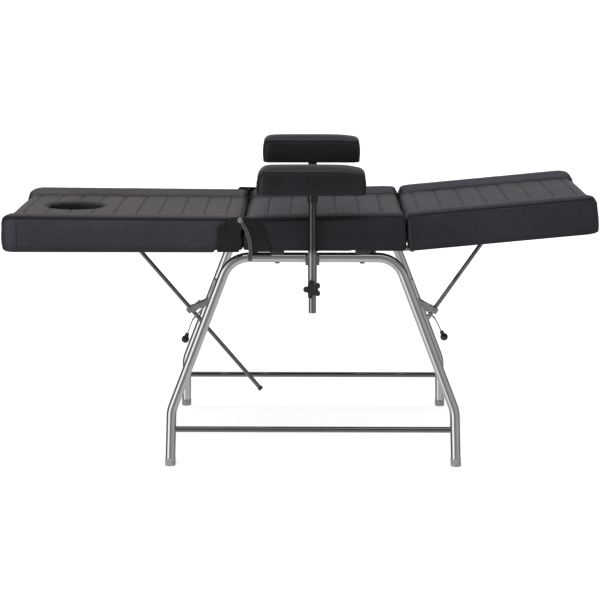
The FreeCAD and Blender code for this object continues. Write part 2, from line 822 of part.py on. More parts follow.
def strap_shape():
    """A flat bar bowed towards the seat, with an eye at the pivot and a lug at the rail."""
    half = size.strap_width / 2
    drop = pivot_z - size.rail_height - size.strap_lug_height

    def bowed(offset):
        top = Vector(offset, 0, 0)
        low = Vector(size.strap_reach + offset, 0, -drop)
        middle = (top + low) * 0.5 + Vector(size.strap_bow, 0, 0)
        return top, middle, low

    left, right = bowed(-half), bowed(half)
    edges = [arc_edge(*left), Part.LineSegment(left[2], right[2]).toShape(), arc_edge(*right),
             Part.LineSegment(right[0], left[0]).toShape()]
    face = Part.Face(Part.Wire(Part.__sortEdges__(edges)))
    strip = face.extrude(Vector(0, -size.strap_thickness, 0))
    eye = Part.makeCylinder(size.plate_boss_radius * 0.6, size.strap_thickness,
                            Vector(0, 0, 0), Vector(0, -1, 0))
    lug_depth = strap_layer + size.strap_thickness - rail_y
    lug = Part.makeBox(size.strap_lug_width, lug_depth, size.strap_lug_height * 2,
                       Vector(size.strap_reach - size.strap_lug_width / 2, -size.strap_thickness,
                              -drop - size.strap_lug_height * 1.5))
    rail = Part.makeCylinder(tube_radius + size.weld_gap, size.tube_diameter * 6,
                             Vector(0, strap_layer - rail_y, size.rail_height - pivot_z), Vector(1, 0, 0))
    hole = Part.makeCylinder(size.pivot_diameter / 2 + size.running_gap, size.tube_diameter * 2,
                             Vector(0, size.tube_diameter, 0), Vector(0, -1, 0))
    return strip.fuse([eye, lug]).cut([rail, hole]).removeSplitter()


near_strap = shaped("near_strap", strap_shape(), on_pivot(strap_layer))
node("hinge_straps", group("hinge_straps", near_strap, mirrored("far_strap", near_strap)))

# Screws that hold the hinge plates to the boards, from below


def up_screw(name, place, frame_place):
    """A small screw whose head is under a plate; its place is the plate's underside."""
    length = "small_screw_length"
    shank = cylinder(name + "_shank", "small_screw_diameter / 2", length, at(0, 0, 0))
    head = cone(name + "_head", "small_screw_head / 3", "small_screw_head / 2", "small_screw_diameter / 2",
                at(0, 0, -size.small_screw_diameter / 2))
    item = fused(name, shank, head)
    item.Placement = frame_place * place
    return item


screw_row_y = seat_layer - size.plate_flange_width / 2
seat_plate_screws = [(pivot_x + size.strap_reach + seat_flange_length * share, side * screw_row_y)
                     for share in (0.25, 0.8) for side in (NEAR, FAR)]
back_plate_screws = [(pivot_x - size.back_plate_length * share, side * screw_row_y)
                     for share in (0.3, 0.8) for side in (NEAR, FAR)]


def drill(label, spots, depth_low, frame_place):
    """Clearance holes for a row of screws, as tools for the pieces that they pass."""
    return [cylinder("%s_%d" % (label, index), "small_screw_diameter / 2 + running_gap",
                     "small_screw_length * 2", frame_place * at(x, y, depth_low))
            for index, (x, y) in enumerate(spots)]


def redrill(label, spots, low, frame_place):
    """Replaces a node by itself with screw holes."""
    index = [item.Label for item in nodes].index(label)
    old = nodes[index]
    old.Label = label + "_undrilled"
    nodes[index] = cut(label + "_with_holes", old, *drill(label + "_hole", spots, low, frame_place))
    nodes[index].Label = label


hole_low = flange_low - size.small_screw_length / 2
for label in ("seat_board", "seat_hinge_plates"):
    redrill(label, seat_plate_screws, hole_low, STAND)
for label in ("back_board", "back_hinge_plates"):
    redrill(label, back_plate_screws, hole_low, STAND)
screw_low = flange_low - size.weld_gap
node("seat_plate_screws", group("seat_plate_screws", *[
    up_screw("seat_plate_screw_%d" % index, at(x, y, screw_low), STAND)
    for index, (x, y) in enumerate(seat_plate_screws)]))
node("back_plate_screws", group("back_plate_screws", *[
    up_screw("back_plate_screw_%d" % index, at(x, y, screw_low), STAND)
    for index, (x, y) in enumerate(back_plate_screws)]))

# Leg hinge: a leaf on the seat board and one on the leg board at each side, on a pin

knuckle_radius = size.knuckle_diameter / 2
side_gap = size.layer_gap


def seat_leaf(name, y):
    """The leaf under the seat board, with two outer knuckles."""
    underside = board_underside - size.weld_gap
    leaf_end = seat_end - size.board_setback
    leaf = box(name + "_plate", "leaf_length", "knuckle_length * 3", "leaf_thickness",
               at(leaf_end - size.leaf_length, y - size.knuckle_length * 1.5,
                  underside - size.leaf_thickness))
    pieces = [leaf]
    for index, offset in enumerate((-1.5, 0.5)):
        low = y + offset * size.knuckle_length
        arm_start = leaf_end - size.leaf_length / 4
        pieces.append(box("%s_arm_%d" % (name, index), leg_hinge_reach - arm_start, "knuckle_length",
                          "knuckle_diameter / 2",
                          at(arm_start, low, leg_hinge_z - knuckle_radius / 2)))
        pieces.append(cylinder("%s_knuckle_%d" % (name, index), "knuckle_diameter / 2", "knuckle_length",
                               at(leg_hinge_reach, low, leg_hinge_z, ALONG_Y)))
        pieces.append(box("%s_web_%d" % (name, index), "leaf_length / 4", "knuckle_length",
                          underside - leg_hinge_z, at(arm_start, low, leg_hinge_z)))
    bore = cylinder(name + "_bore", "leg_pin_diameter / 2 + running_gap", "knuckle_length * 4",
                    at(leg_hinge_reach, y - size.knuckle_length * 2, leg_hinge_z, ALONG_Y))
    item = cut(name, fused(name + "_body", *pieces), bore)
    item.Placement = STAND
    return item


def leg_leaf(name, y):
    """The leaf under the leg board, with the middle knuckle."""
    top = size.leg_hinge_drop - size.weld_gap
    width = size.knuckle_length - 2 * side_gap
    plate_start = knuckle_radius + size.leaf_thickness
    leaf = box(name + "_plate", "leaf_length", "knuckle_length * 3", "leaf_thickness",
               at(plate_start, y - size.knuckle_length * 1.5, top - size.leaf_thickness))
    arm = box(name + "_arm", plate_start + size.leaf_thickness, width, top, at(0, y - width / 2, 0))
    knuckle = cylinder(name + "_knuckle", "knuckle_diameter / 2", width, at(0, y - width / 2, 0, ALONG_Y))
    bore = cylinder(name + "_bore", "leg_pin_diameter / 2 + running_gap", "knuckle_length * 2",
                    at(0, y - size.knuckle_length, 0, ALONG_Y))
    item = cut(name, fused(name + "_body", leaf, arm, knuckle), bore)
    item.Placement = LEG
    return item


def leg_pin(name, y):
    length = size.knuckle_length * 3
    head_start = y - length / 2 - size.leaf_thickness / 2 - size.weld_gap
    head = cylinder(name + "_head", "leg_pin_diameter", "leaf_thickness / 2",
                    on_stand(leg_hinge_reach, head_start, leg_hinge_z, ALONG_Y))
    shank = cylinder(name + "_shank", "leg_pin_diameter / 2", length + size.leaf_thickness * 1.5,
                     on_stand(leg_hinge_reach, head_start, leg_hinge_z, ALONG_Y))
    return fused(name, shank, head)


leg_hinge_rows = [side * size.leg_hinge_spread / 2 for side in (NEAR, FAR)]
node("leg_hinge_seat_leaves", group("leg_hinge_seat_leaves", *[
    seat_leaf("seat_leaf_%d" % index, y) for index, y in enumerate(leg_hinge_rows)]))
node("leg_hinge_leg_leaves", group("leg_hinge_leg_leaves", *[
    leg_leaf("leg_leaf_%d" % index, y) for index, y in enumerate(leg_hinge_rows)]))
node("leg_hinge_pins", group("leg_hinge_pins", *[
    leg_pin("leg_pin_%d" % index, y) for index, y in enumerate(leg_hinge_rows)]))

# Support rods: each pin is as far from the section's hinge as the clamp is, so the rod
# turns by half the section's angle and always points through the clamp


def rod_pin_place(hinge, clamp, pin_height):
    """The pin's reach from the hinge at a height, at the clamp's distance from the hinge."""
    distance = (clamp - hinge).Length
    return math.sqrt(distance ** 2 - pin_height ** 2)


back_pivot = Vector(pivot_x, 0, pivot_z)
crossbar_reach = leg_point(FOOT, NEAR, crossbar_height).x
head_clamp = Vector(-crossbar_reach - size.head_clamp_reach, 0, crossbar_height - size.head_clamp_drop)
back_pin_z = board_underside - size.back_pin_drop
back_pin = Vector(pivot_x - rod_pin_place(back_pivot, head_clamp, pivot_z - back_pin_z), 0, back_pin_z)
leg_hinge = Vector(leg_hinge_reach, 0, leg_hinge_z)
foot_clamp = Vector(crossbar_reach + size.foot_clamp_reach, 0, crossbar_height - size.foot_clamp_drop)
leg_pin_local_z = size.leg_hinge_drop - size.leg_pin_drop
leg_pin_local_x = rod_pin_place(leg_hinge, foot_clamp, leg_pin_local_z)
leg_pin_point = leg_hinge + leg_turn.multVec(Vector(leg_pin_local_x, 0, leg_pin_local_z))


def clamp_frame(end, clamp, pin):
    """A place at the clamp, Z up along the rod and X square to it, away from the stand."""
    run = pin - clamp
    from_upright = math.degrees(math.atan2(end * run.x, run.z))
    turn = Rotation(Vector(0, 1, 0), from_upright)
    if end == HEAD:
        turn = HALF_TURN * turn
    return on_stand(clamp.x, clamp.y, clamp.z, turn)


head_frame = clamp_frame(HEAD, head_clamp, back_pin)
foot_frame = clamp_frame(FOOT, foot_clamp, leg_pin_point)


def support_rod(name, frame, run, spare):
    """The rod with its eye at the pin, in the clamp's frame at rest."""
    rod = cylinder(name + "_bar", "rod_diameter / 2", run + spare, at(0, 0, -spare))
    eye = cylinder(name + "_eye", "eye_diameter / 2", "eye_width",
                   at(0, -size.eye_width / 2, run, ALONG_Y))
    hole = cylinder(name + "_hole", "rod_pin_diameter / 2 + running_gap", "eye_width * 2",
                    at(0, -size.eye_width, run, ALONG_Y))
    flats = [box("%s_flat_%d" % (name, index), "eye_diameter", "eye_diameter", "eye_diameter",
                 at(-size.eye_diameter / 2, low, run - size.eye_diameter * 0.7))
             for index, low in enumerate((size.eye_width / 2, -size.eye_width / 2 - size.eye_diameter))]
    item = cut(name, fused(name + "_body", rod, eye), hole, *flats)
    item.Placement = frame
    return item


def rod_cap(name, frame, spare):
    shell = cylinder(name + "_shell", "rod_cap_diameter / 2", "rod_cap_length",
                     at(0, 0, -spare - size.rod_cap_length / 4))
    bore = cylinder(name + "_bore", "rod_diameter / 2 + running_gap", "rod_cap_length",
                    at(0, 0, -spare - size.weld_gap))
    item = cut(name, shell, bore)
    item.Placement = frame
    return item


back_run = (back_pin - head_clamp).Length
leg_run = (leg_pin_point - foot_clamp).Length
node("back_rod", support_rod("back_rod", head_frame, back_run, size.back_rod_spare))
node("leg_rod", support_rod("leg_rod", foot_frame, leg_run, size.leg_rod_spare))
node("back_rod_cap", rod_cap("back_rod_cap", head_frame, size.back_rod_spare))
node("leg_rod_cap", rod_cap("leg_rod_cap", foot_frame, size.leg_rod_spare))

# Brackets under the boards that hold the rods' pins


def rod_bracket(name, frame, x, pin_z, board_z):
    """A base plate against the board and two ears round the rod's eye."""
    top = board_z - size.weld_gap
    inner = size.eye_width / 2 + size.layer_gap
    base = box(name + "_base", "bracket_base_length", (inner + size.ear_thickness) * 2, "ear_thickness",
               at(x - size.bracket_base_length / 2, -inner - size.ear_thickness, top - size.ear_thickness))
    pieces = [base]
    for index, low in enumerate((inner, -inner - size.ear_thickness)):
        pieces.append(cylinder("%s_ear_%d" % (name, index), "eye_diameter / 2", "ear_thickness",
                               at(x, low, pin_z, ALONG_Y)))
        pieces.append(box("%s_web_%d" % (name, index), "eye_diameter", "ear_thickness", top - pin_z,
                          at(x - size.eye_diameter / 2, low, pin_z)))
    hole = cylinder(name + "_hole", "rod_pin_diameter / 2 + running_gap", "eye_diameter * 3",
                    at(x, -size.eye_diameter * 1.5, pin_z, ALONG_Y))
    item = cut(name, fused(name + "_body", *pieces), hole)
    item.Placement = frame
    return item


def rod_pin(name, frame, x, pin_z):
    reach = size.eye_width / 2 + size.layer_gap + size.ear_thickness + size.weld_gap
    shank = cylinder(name + "_shank", "rod_pin_diameter / 2", reach * 2, at(x, -reach, pin_z, ALONG_Y))
    heads = [cylinder("%s_head_%d" % (name, index), "rod_pin_diameter * 0.8", "ear_thickness / 2",
                      at(x, low, pin_z, ALONG_Y))
             for index, low in enumerate((reach, -reach - size.ear_thickness / 2))]
    item = fused(name, shank, *heads)
    item.Placement = frame
    return item


node("back_rod_bracket", rod_bracket("back_rod_bracket", STAND, back_pin.x, back_pin_z, board_underside))
node("back_rod_pin", rod_pin("back_rod_pin", STAND, back_pin.x, back_pin_z))
node("leg_rod_bracket", rod_bracket("leg_rod_bracket", LEG, leg_pin_local_x, leg_pin_local_z,
                                    size.leg_hinge_drop))
node("leg_rod_pin", rod_pin("leg_rod_pin", LEG, leg_pin_local_x, leg_pin_local_z))

# Clamp brackets: two plates from the crossbar out to the swivel's trunnions


def clamp_bracket(name, end, clamp):
    """Side plates in the upright plane, X away from the stand's middle, coped to the bar."""
    across, up = end * clamp.x - crossbar_reach, clamp.z - crossbar_height
    inner = size.swivel_width / 2 + size.layer_gap
    radius = size.clamp_plate_radius
    run = math.hypot(across, up)
    slant = math.degrees(math.atan2(up, across))
    root = size.crossbar_diameter * 0.4
    rounding = radius * 0.95
    outline = [(0, -root, 0), (run + radius, -radius, rounding),
               (run + radius, radius, rounding), (0, root, 0)]
    frame = on_stand(crossbar_reach * end, 0, crossbar_height, HALF_TURN if end == HEAD else None)
    tilt = Rotation(Vector(0, 1, 0), -slant)
    plates = [prism("%s_plate_%d" % (name, index), outline, "clamp_plate_thickness",
                    frame * at(0, low + size.clamp_plate_thickness, 0, tilt * UPRIGHT))
              for index, low in enumerate((inner, -inner - size.clamp_plate_thickness))]
    cope = cylinder(name + "_cope", "crossbar_diameter / 2 + weld_gap", "swivel_width * 4",
                    frame * at(0, -size.swivel_width * 2, 0, ALONG_Y))
    hole = cylinder(name + "_hole", "trunnion_diameter / 2 + running_gap", "swivel_width * 4",
                    frame * at(across, -size.swivel_width * 2, up, ALONG_Y))
    return group(name, *[cut("%s_side_%d" % (name, index), plate, cope, hole)
                         for index, plate in enumerate(plates)])


def swivel(name, frame, pin_drop):
    """The guide block that the rod slides through, with its trunnions and the lever's tail."""
    half = size.swivel_width / 2
    block = box(name + "_block", "swivel_width", "swivel_width", "swivel_height",
                at(-half, -half, -size.swivel_height / 2))
    trunnion_reach = half + size.layer_gap + size.clamp_plate_thickness * 1.4
    trunnion = cylinder(name + "_trunnion", "trunnion_diameter / 2", trunnion_reach * 2,
                        at(0, -trunnion_reach, 0, ALONG_Y))
    tail_width = size.lever_width - 2 * size.lever_thickness - 2 * size.layer_gap
    tail_end = size.lever_pin_reach + size.lever_pin_diameter
    tail_low = -pin_drop - size.lever_pin_diameter
    tail = box(name + "_tail", tail_end, tail_width, size.lever_pin_diameter - tail_low,
               at(-tail_end, -tail_width / 2, tail_low))
    bore = cylinder(name + "_bore", "rod_diameter / 2 + swivel_bore_gap", "swivel_height * 3",
                    at(0, 0, -size.swivel_height * 1.5))
    pin_hole = cylinder(name + "_pin_hole", "lever_pin_diameter / 2 + running_gap", "swivel_width * 2",
                        at(-size.lever_pin_reach, -size.swivel_width, -pin_drop, ALONG_Y))
    item = cut(name, fused(name + "_body", block, trunnion, tail), bore, pin_hole)
    item.Placement = frame
    return item


def lever_frame(frame, pin_drop):
    """The lever's own place: at its pin, X along the plate, tilted as it locks the rod."""
    return frame * at(-size.lever_pin_reach, 0, -pin_drop, Rotation(Vector(0, 1, 0), size.lever_tilt))


plate_low = -size.lever_plate_drop - size.lever_thickness
arm_turn = math.radians(size.lever_arm_turn)
plate_end = size.lever_pin_reach + size.lever_plate_reach
arm_run = Vector(math.cos(arm_turn), 0, -math.sin(arm_turn))
arm_start = Vector(plate_end, 0, plate_low + size.lever_thickness / 2)
arm_end = arm_start + arm_run * size.lever_arm_length


def lever(name, place):
    """The lock plate with its slot and ears, and the bent arm that carries the knob."""
    half = size.lever_width / 2
    ear = size.lever_pin_diameter
    plate = box(name + "_plate", plate_end + ear, "lever_width", "lever_thickness",
                place * at(-ear, -half, plate_low))
    pieces = [plate]
    for index, low in enumerate((-half, half - size.lever_thickness)):
        pieces.append(box("%s_ear_%d" % (name, index), ear * 2, "lever_thickness", -plate_low + ear,
                          place * at(-ear, low, plate_low)))
    arm_place = place * at(arm_start.x, -size.lever_arm_width / 2, arm_start.z,
                           Rotation(Vector(0, 1, 0), size.lever_arm_turn))
    pieces.append(box(name + "_arm", "lever_arm_length + lever_thickness / 2", "lever_arm_width",
                      "lever_thickness",
                      arm_place * at(-size.lever_thickness / 2, 0, -size.lever_thickness / 2)))
    slot_height = size.lever_thickness * 5
    middle_tilt = math.radians(size.lever_tilt - size.lever_travel / 2)
    slot_centre = size.lever_pin_reach / math.cos(middle_tilt) - arm_start.z * math.tan(middle_tilt)
    extra = size.lever_slot_length - size.rod_diameter
    slot_half = size.rod_diameter / 2 + size.layer_gap
    slot_low = plate_low - slot_height / 2
    slot = box(name + "_slot", extra, slot_half * 2, slot_height,
               place * at(slot_centre - extra / 2, -slot_half, slot_low))
    ends = [cylinder("%s_slot_end_%d" % (name, index), slot_half, slot_height,
                     place * at(slot_centre + shift, 0, slot_low))
            for index, shift in enumerate((-extra / 2, extra / 2))]
    hole = cylinder(name + "_hole", "lever_pin_diameter / 2 + running_gap", "swivel_width * 2",
                    place * at(0, -size.swivel_width, 0, ALONG_Y))
    return cut(name, fused(name + "_body", *pieces), slot, hole, *ends)


def lever_pin(name, place):
    half = size.lever_width / 2 - size.layer_gap
    return cylinder(name, "lever_pin_diameter / 2", half * 2, place * at(0, -half, 0, ALONG_Y))


def lever_knob(name, place):
    """A ball with a tapered neck, on the end of the arm."""
    arm_tip = place * at(arm_end.x, 0, arm_end.z, Rotation(Vector(0, 1, 0), 90 + size.lever_arm_turn))
    neck = cone(name + "_neck", "knob_neck_diameter / 2 * 0.8", "knob_neck_diameter / 2", "knob_neck_length",
                arm_tip * at(0, 0, size.weld_gap))
    sphere = ball(name + "_ball", "knob_diameter / 2",
                  arm_tip * at(0, 0, size.knob_neck_length + size.knob_diameter * 0.42))
    return fused(name, neck, sphere)


for word, end, clamp, frame, pin_drop in (("head", HEAD, head_clamp, head_frame, size.head_pin_drop),
                                          ("foot", FOOT, foot_clamp, foot_frame, size.foot_pin_drop)):
    lever_place = lever_frame(frame, pin_drop)
    node(word + "_clamp_bracket", clamp_bracket(word + "_clamp_bracket", end, clamp))
    node(word + "_swivel", swivel(word + "_swivel", frame, pin_drop))
    node(word + "_lock_lever", lever(word + "_lock_lever", lever_place))
    node(word + "_lever_pin", lever_pin(word + "_lever_pin", lever_place))
    node(word + "_lever_knob", lever_knob(word + "_lever_knob", lever_place))

# Armrests: sockets on the rails, posts that slide in them and pads that turn on the posts

post_y = size.post_spread / 2
post_bottom = size.rail_height - size.post_drop
sleeve_bottom = size.rail_height - size.sleeve_drop
sleeve_top = size.rail_height + size.sleeve_rise
star_height = size.rail_height - size.star_drop
pad_underside = crest_height + size.pad_rise
post_radius = size.post_diameter / 2
sleeve_radius = size.sleeve_diameter / 2


def on_post(z, turn=None, out=0):
    """A place on the near post's axis, or outward of it."""
    return on_stand(size.post_offset, -post_y - out, z, turn)


sleeve = cylinder("socket_sleeve", "sleeve_diameter / 2", "sleeve_rise + sleeve_drop", on_post(sleeve_bottom))
saddle = box("socket_saddle", "saddle_width", post_y - rail_y, "saddle_height",
             on_stand(size.post_offset - size.saddle_width / 2, -post_y,
                      size.rail_height - size.saddle_height / 2))
star_boss = cylinder("socket_boss", "star_boss_diameter / 2", sleeve_radius + size.star_boss_length,
                     on_post(star_height, UPRIGHT))
socket_bore = cylinder("socket_bore", "post_diameter / 2 + running_gap", sleeve_top,
                       on_post(sleeve_bottom - size.sleeve_diameter))
rail_cope = cylinder("socket_rail_cope", "tube_diameter / 2 + weld_gap", "saddle_width * 2",
                     on_stand(size.post_offset - size.saddle_width, -rail_y, size.rail_height, ALONG_X))
stud_hole = cylinder("socket_stud_hole", "stud_diameter / 2 + running_gap", "sleeve_diameter * 2",
                     on_post(star_height, UPRIGHT))
near_socket_body = fused("near_socket_body", sleeve, saddle, star_boss)
near_socket = node("near_post_socket", cut("near_post_socket", near_socket_body,
                                           socket_bore, rail_cope, stud_hole))
node("far_post_socket", mirrored("far_post_socket", near_socket))

star_inner = sleeve_radius + size.star_boss_length + size.layer_gap
lobe_count = 5
lobe_reach = (size.star_diameter - size.star_lobe_diameter) / 2
lobes = []
for index in range(lobe_count):
    angle = math.pi + 2 * math.pi * index / lobe_count
    lobes.append(cylinder("star_lobe_%d" % index, "star_lobe_diameter / 2", "star_thickness",
                          on_stand(size.post_offset + lobe_reach * math.cos(angle), -post_y - star_inner,
                                   star_height + lobe_reach * math.sin(angle), UPRIGHT)))
star_core = cylinder("star_core", "star_diameter / 2 - star_lobe_diameter / 2 * 1.25", "star_thickness",
                     on_post(star_height, UPRIGHT, star_inner))
stud_start = post_radius + size.layer_gap
stud = cylinder("star_stud", "stud_diameter / 2", star_inner - stud_start + size.star_thickness / 2,
                on_post(star_height, UPRIGHT, stud_start))
near_star = node("near_star_knob", fused("near_star_knob", star_core, stud, *lobes))
node("far_star_knob", mirrored("far_star_knob", near_star))

post_top = pad_underside - size.flange_thickness - size.layer_gap - size.weld_gap
post_outer = cylinder("post_outer", "post_diameter / 2", post_top - post_bottom, on_post(post_bottom))
post_inner = cylinder("post_inner", "post_diameter / 2 - post_wall", post_top - post_bottom,
                      on_post(post_bottom))
near_post = node("near_post", cut("near_post", post_outer, post_inner))
far_arm_piece("far_post", near_post)

cap_plug = cylinder("cap_plug", "post_diameter / 2 - post_wall - running_gap", "post_cap_length",
                    on_post(post_bottom))
cap_rim = cylinder("cap_rim", "post_diameter / 2", "post_wall",
                   on_post(post_bottom - size.post_wall - size.weld_gap))
cap_neck = cylinder("cap_neck", "post_diameter / 2 - post_wall - running_gap", "post_wall",
                    on_post(post_bottom - size.post_wall / 2))
near_cap = node("near_post_cap", fused("near_post_cap", cap_plug, cap_neck, cap_rim))
far_arm_piece("far_post_cap", near_cap)

flange_top = pad_underside - size.weld_gap
flange_bottom = flange_top - size.flange_thickness
hub_bottom = flange_bottom - size.hub_length
flange_disc = cylinder("flange_disc", "flange_diameter / 2", "flange_thickness", on_post(flange_bottom))
hub = cylinder("flange_hub", "hub_diameter / 2", "hub_length", on_post(hub_bottom))
hub_bore = cylinder("flange_bore", "post_diameter / 2 + running_gap", "hub_length", on_post(hub_bottom))
flange_screw_spots = []
for index in range(4):
    angle = math.pi / 4 + math.pi / 2 * index
    reach = size.flange_diameter * 0.38
    flange_screw_spots.append((size.post_offset + reach * math.cos(angle), -post_y + reach * math.sin(angle)))
flange_body = cut("near_flange_body", fused("near_flange_solid", flange_disc, hub), hub_bore)
near_flange = node("near_pad_flange", cut("near_pad_flange", flange_body, *drill(
    "near_flange_hole", flange_screw_spots, flange_top - size.small_screw_length, STAND)))
far_arm_piece("far_pad_flange", near_flange)

pad_x = size.post_offset + size.pad_offset
pad_half_length, pad_half_width = size.pad_length / 2, size.pad_width / 2
pad_board_half_length = pad_half_length - size.pad_board_setback
pad_board_half_width = pad_half_width - size.pad_board_setback
pad_board_edge = [(sx * pad_board_half_length, sy * pad_board_half_width, size.pad_corner_radius)
                  for sx, sy in ((-1, -1), (1, -1), (1, 1), (-1, 1))]
pad_board_plain = prism("pad_board_plain", pad_board_edge, "pad_board_thickness",
                        on_stand(pad_x, -post_y, pad_underside))
near_pad_board = node("near_pad_board", cut("near_pad_board", pad_board_plain, *drill(
    "near_pad_board_hole", flange_screw_spots, flange_top - size.small_screw_length, STAND)))
far_arm_piece("far_pad_board", near_pad_board)
flange_screw_low = flange_bottom - size.weld_gap
near_flange_screws = node("near_flange_screws", group("near_flange_screws", *[
    up_screw("near_flange_screw_%d" % index, at(x, y, flange_screw_low), STAND)
    for index, (x, y) in enumerate(flange_screw_spots)]))
far_arm_piece("far_flange_screws", near_flange_screws)


def pad_wire(x, half_width, height):
    """Outline across an armrest pad: swelling sides, round shoulders and a crowned top."""
    shoulder = size.pad_shoulder
    side_top = height - shoulder
    corner = 1 - math.sqrt(0.5)
    spots = [(half_width, 0), (half_width, side_top), (half_width - shoulder, height - size.pad_crown)]
    swell = (half_width + size.side_swell, side_top / 2)
    bend = (half_width - shoulder * corner, side_top + (shoulder - size.pad_crown) * (1 - corner))

    def spot(place, sign):
        return Vector(x, sign * place[0], place[1])

    edges = []
    for sign in (NEAR, FAR):
        edges.append(arc_edge(spot(spots[0], sign), spot(swell, sign), spot(spots[1], sign)))
        edges.append(arc_edge(spot(spots[1], sign), spot(bend, sign), spot(spots[2], sign)))
    edges.append(arc_edge(spot(spots[2], NEAR), Vector(x, 0, height), spot(spots[2], FAR)))
    edges.append(Part.LineSegment(spot(spots[0], NEAR), spot(spots[0], FAR)).toShape())
    return Part.Wire(Part.__sortEdges__(edges))


def pad_shape():
    """An armrest pad with drawn-in ends and the recess for its board."""
    half_width = pad_half_width - size.side_swell
    wires = []
    for x, share in end_stations(-pad_half_length, pad_half_length):
        wires.append(pad_wire(x, half_width - size.end_draw * share,
                              size.pad_thickness - size.end_drop * 2 * share))
    solid = Part.makeLoft(wires, True, True)
    solid = solid.common(plan_prism(-pad_half_length, pad_half_length, pad_half_width + size.side_swell,
                                    size.pad_corner_radius, size.pad_corner_radius,
                                    -size.pad_thickness, size.pad_thickness * 3))
    gap = size.pad_board_setback - size.board_gap
    recess = plan_prism(-pad_half_length + gap, pad_half_length - gap, pad_half_width - gap,
                        size.pad_corner_radius, size.pad_corner_radius, 0,
                        size.pad_board_thickness + size.board_gap)
    return solid.cut(recess)


near_pad = node("near_pad", shaped("near_pad", pad_shape(), on_stand(pad_x, -post_y, pad_underside)))
far_arm_piece("far_pad", near_pad)

# Check every object, then write one file for each piece

doc.recompute()
failed = [item.Name for item in doc.Objects if "Invalid" in item.State or "Error" in item.State]
if failed:
    raise RuntimeError("failed objects: " + ", ".join(failed))
os.makedirs("parts", exist_ok=True)
for item in nodes:
    if item.Shape.isNull() or not item.Shape.isValid():
        raise RuntimeError("bad shape: " + item.Label)
for item in nodes:
    item.Shape.exportStep(os.path.join("parts", item.Label + ".step"))
whole = Part.makeCompound([item.Shape for item in nodes]).optimalBoundingBox(False)
print("pieces", len(nodes), "length", round(whole.XLength, 1), "width", round(whole.YLength, 1),
      "height", round(whole.ZLength, 1), "centre", round(whole.Center.x, 3), round(whole.Center.y, 3),
      "low", round(whole.ZMin, 3))
print("stand centre", round(stand_x, 4), "back pin", back_pin, "leg pin", leg_pin_point)
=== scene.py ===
import math
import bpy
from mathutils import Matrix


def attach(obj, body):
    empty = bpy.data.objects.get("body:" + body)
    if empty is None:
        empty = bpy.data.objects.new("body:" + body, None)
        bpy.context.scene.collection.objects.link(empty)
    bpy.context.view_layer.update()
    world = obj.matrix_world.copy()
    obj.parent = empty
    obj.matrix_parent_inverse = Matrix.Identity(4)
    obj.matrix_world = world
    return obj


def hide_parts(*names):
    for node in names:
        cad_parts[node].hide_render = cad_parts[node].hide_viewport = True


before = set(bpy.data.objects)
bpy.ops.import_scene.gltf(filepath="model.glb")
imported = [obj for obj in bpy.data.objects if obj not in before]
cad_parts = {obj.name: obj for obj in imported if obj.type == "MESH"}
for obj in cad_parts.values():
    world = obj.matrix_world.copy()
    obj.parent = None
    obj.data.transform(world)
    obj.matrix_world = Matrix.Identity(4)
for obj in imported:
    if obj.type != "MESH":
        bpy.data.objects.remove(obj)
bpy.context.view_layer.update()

from types import SimpleNamespace

import bmesh
import bpy
import numpy as np
from mathutils import Matrix, Vector
from mathutils.bvhtree import BVHTree

# Tattoo chair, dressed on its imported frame: sewn vinyl covers over foam, chromed tube, black plates, moulded knobs.
# Shapes are worked out in millimetres and go into the meshes in metres. +X runs towards the leg end, the near side
# lies towards -Y.

MM = 0.001
STAND_X = 43.5816                   # from the frame's origin to the stand's middle, along the bed
BED_HIGH = 698.0                    # underside of the boards
HALF_BED = 299.0                    # half of the bed's width
LEG_HINGE = (359.5816, 0, 688)
LEG_TILT = math.radians(5.5)        # how far the leg section stands up at rest
STAND_PLACE = Matrix.Translation((STAND_X, 0, 0))
BED_PLACE = STAND_PLACE @ Matrix.Translation((0, 0, BED_HIGH))
LEG_PLACE = Matrix.Translation(LEG_HINGE) @ Matrix.Rotation(-LEG_TILT, 4, "Y") @ Matrix.Translation((0, 0, 10))

PANEL_HALF = 217.0                  # from the middle to the seam between panel and bolster
PANEL_CROWN = 4.0
BOLSTER_RISE = 20.0                 # bolsters above the panel
BOLSTER_MIDDLE = 262.0              # where the crest's height is taken
EDGE = (12.0, 17.0)                 # width and height of the rolled edge
END_RUN = 45.0                      # over which the ends drop
PANEL_RUN = 45.0
CHANNEL_PITCH = 73.0
SIDE_SEAM = 13.0                    # fall from the crest to the side band's seam
HOLE = (-747.4 - STAND_X, 0.0, 89.0, 73.0)      # the face hole's middle, half length and half width
UPPER = 60.0                        # all that is sewn on top lies above this
NO_SEAM = 60.0                      # distance given where no seam is near
CUT = 4.0                           # where the cover is cut and turned under
FOAM_FOOT = -18.0                   # the block starts below the cut, so that nothing pulls at it

PAD_HALF = 63.0
PAD_EDGE, PAD_SEAM = (15.0, 16.0), 17.0
SECTION_BOARD, PAD_BOARD = (5.0, 15.0), (6.0, 10.0)     # how far a board stands back from its cover, and its thickness

SWELL_PRESSURE, SWELL_SLACK, SWELL_FRAMES = 4.0, 0.004, 20
CHANNEL_HOLD = 0.6                  # share by which a channel's thread holds the cloth down


# Mesh helpers: every shape is a set of whole arrays

def ring_faces(rings, around, joined=False):
    """Quads between rings of points: ring i and i + 1, point j and j + 1, the last point meeting the first."""
    i = np.arange(rings if joined else rings - 1)[:, None]
    j = np.arange(around)[None, :]
    following, beside = (i + 1) % rings, (j + 1) % around
    quads = [i * around + j, i * around + beside, following * around + beside, following * around + j]
    return np.stack(np.broadcast_arrays(*quads), axis=-1).reshape(-1, 4)


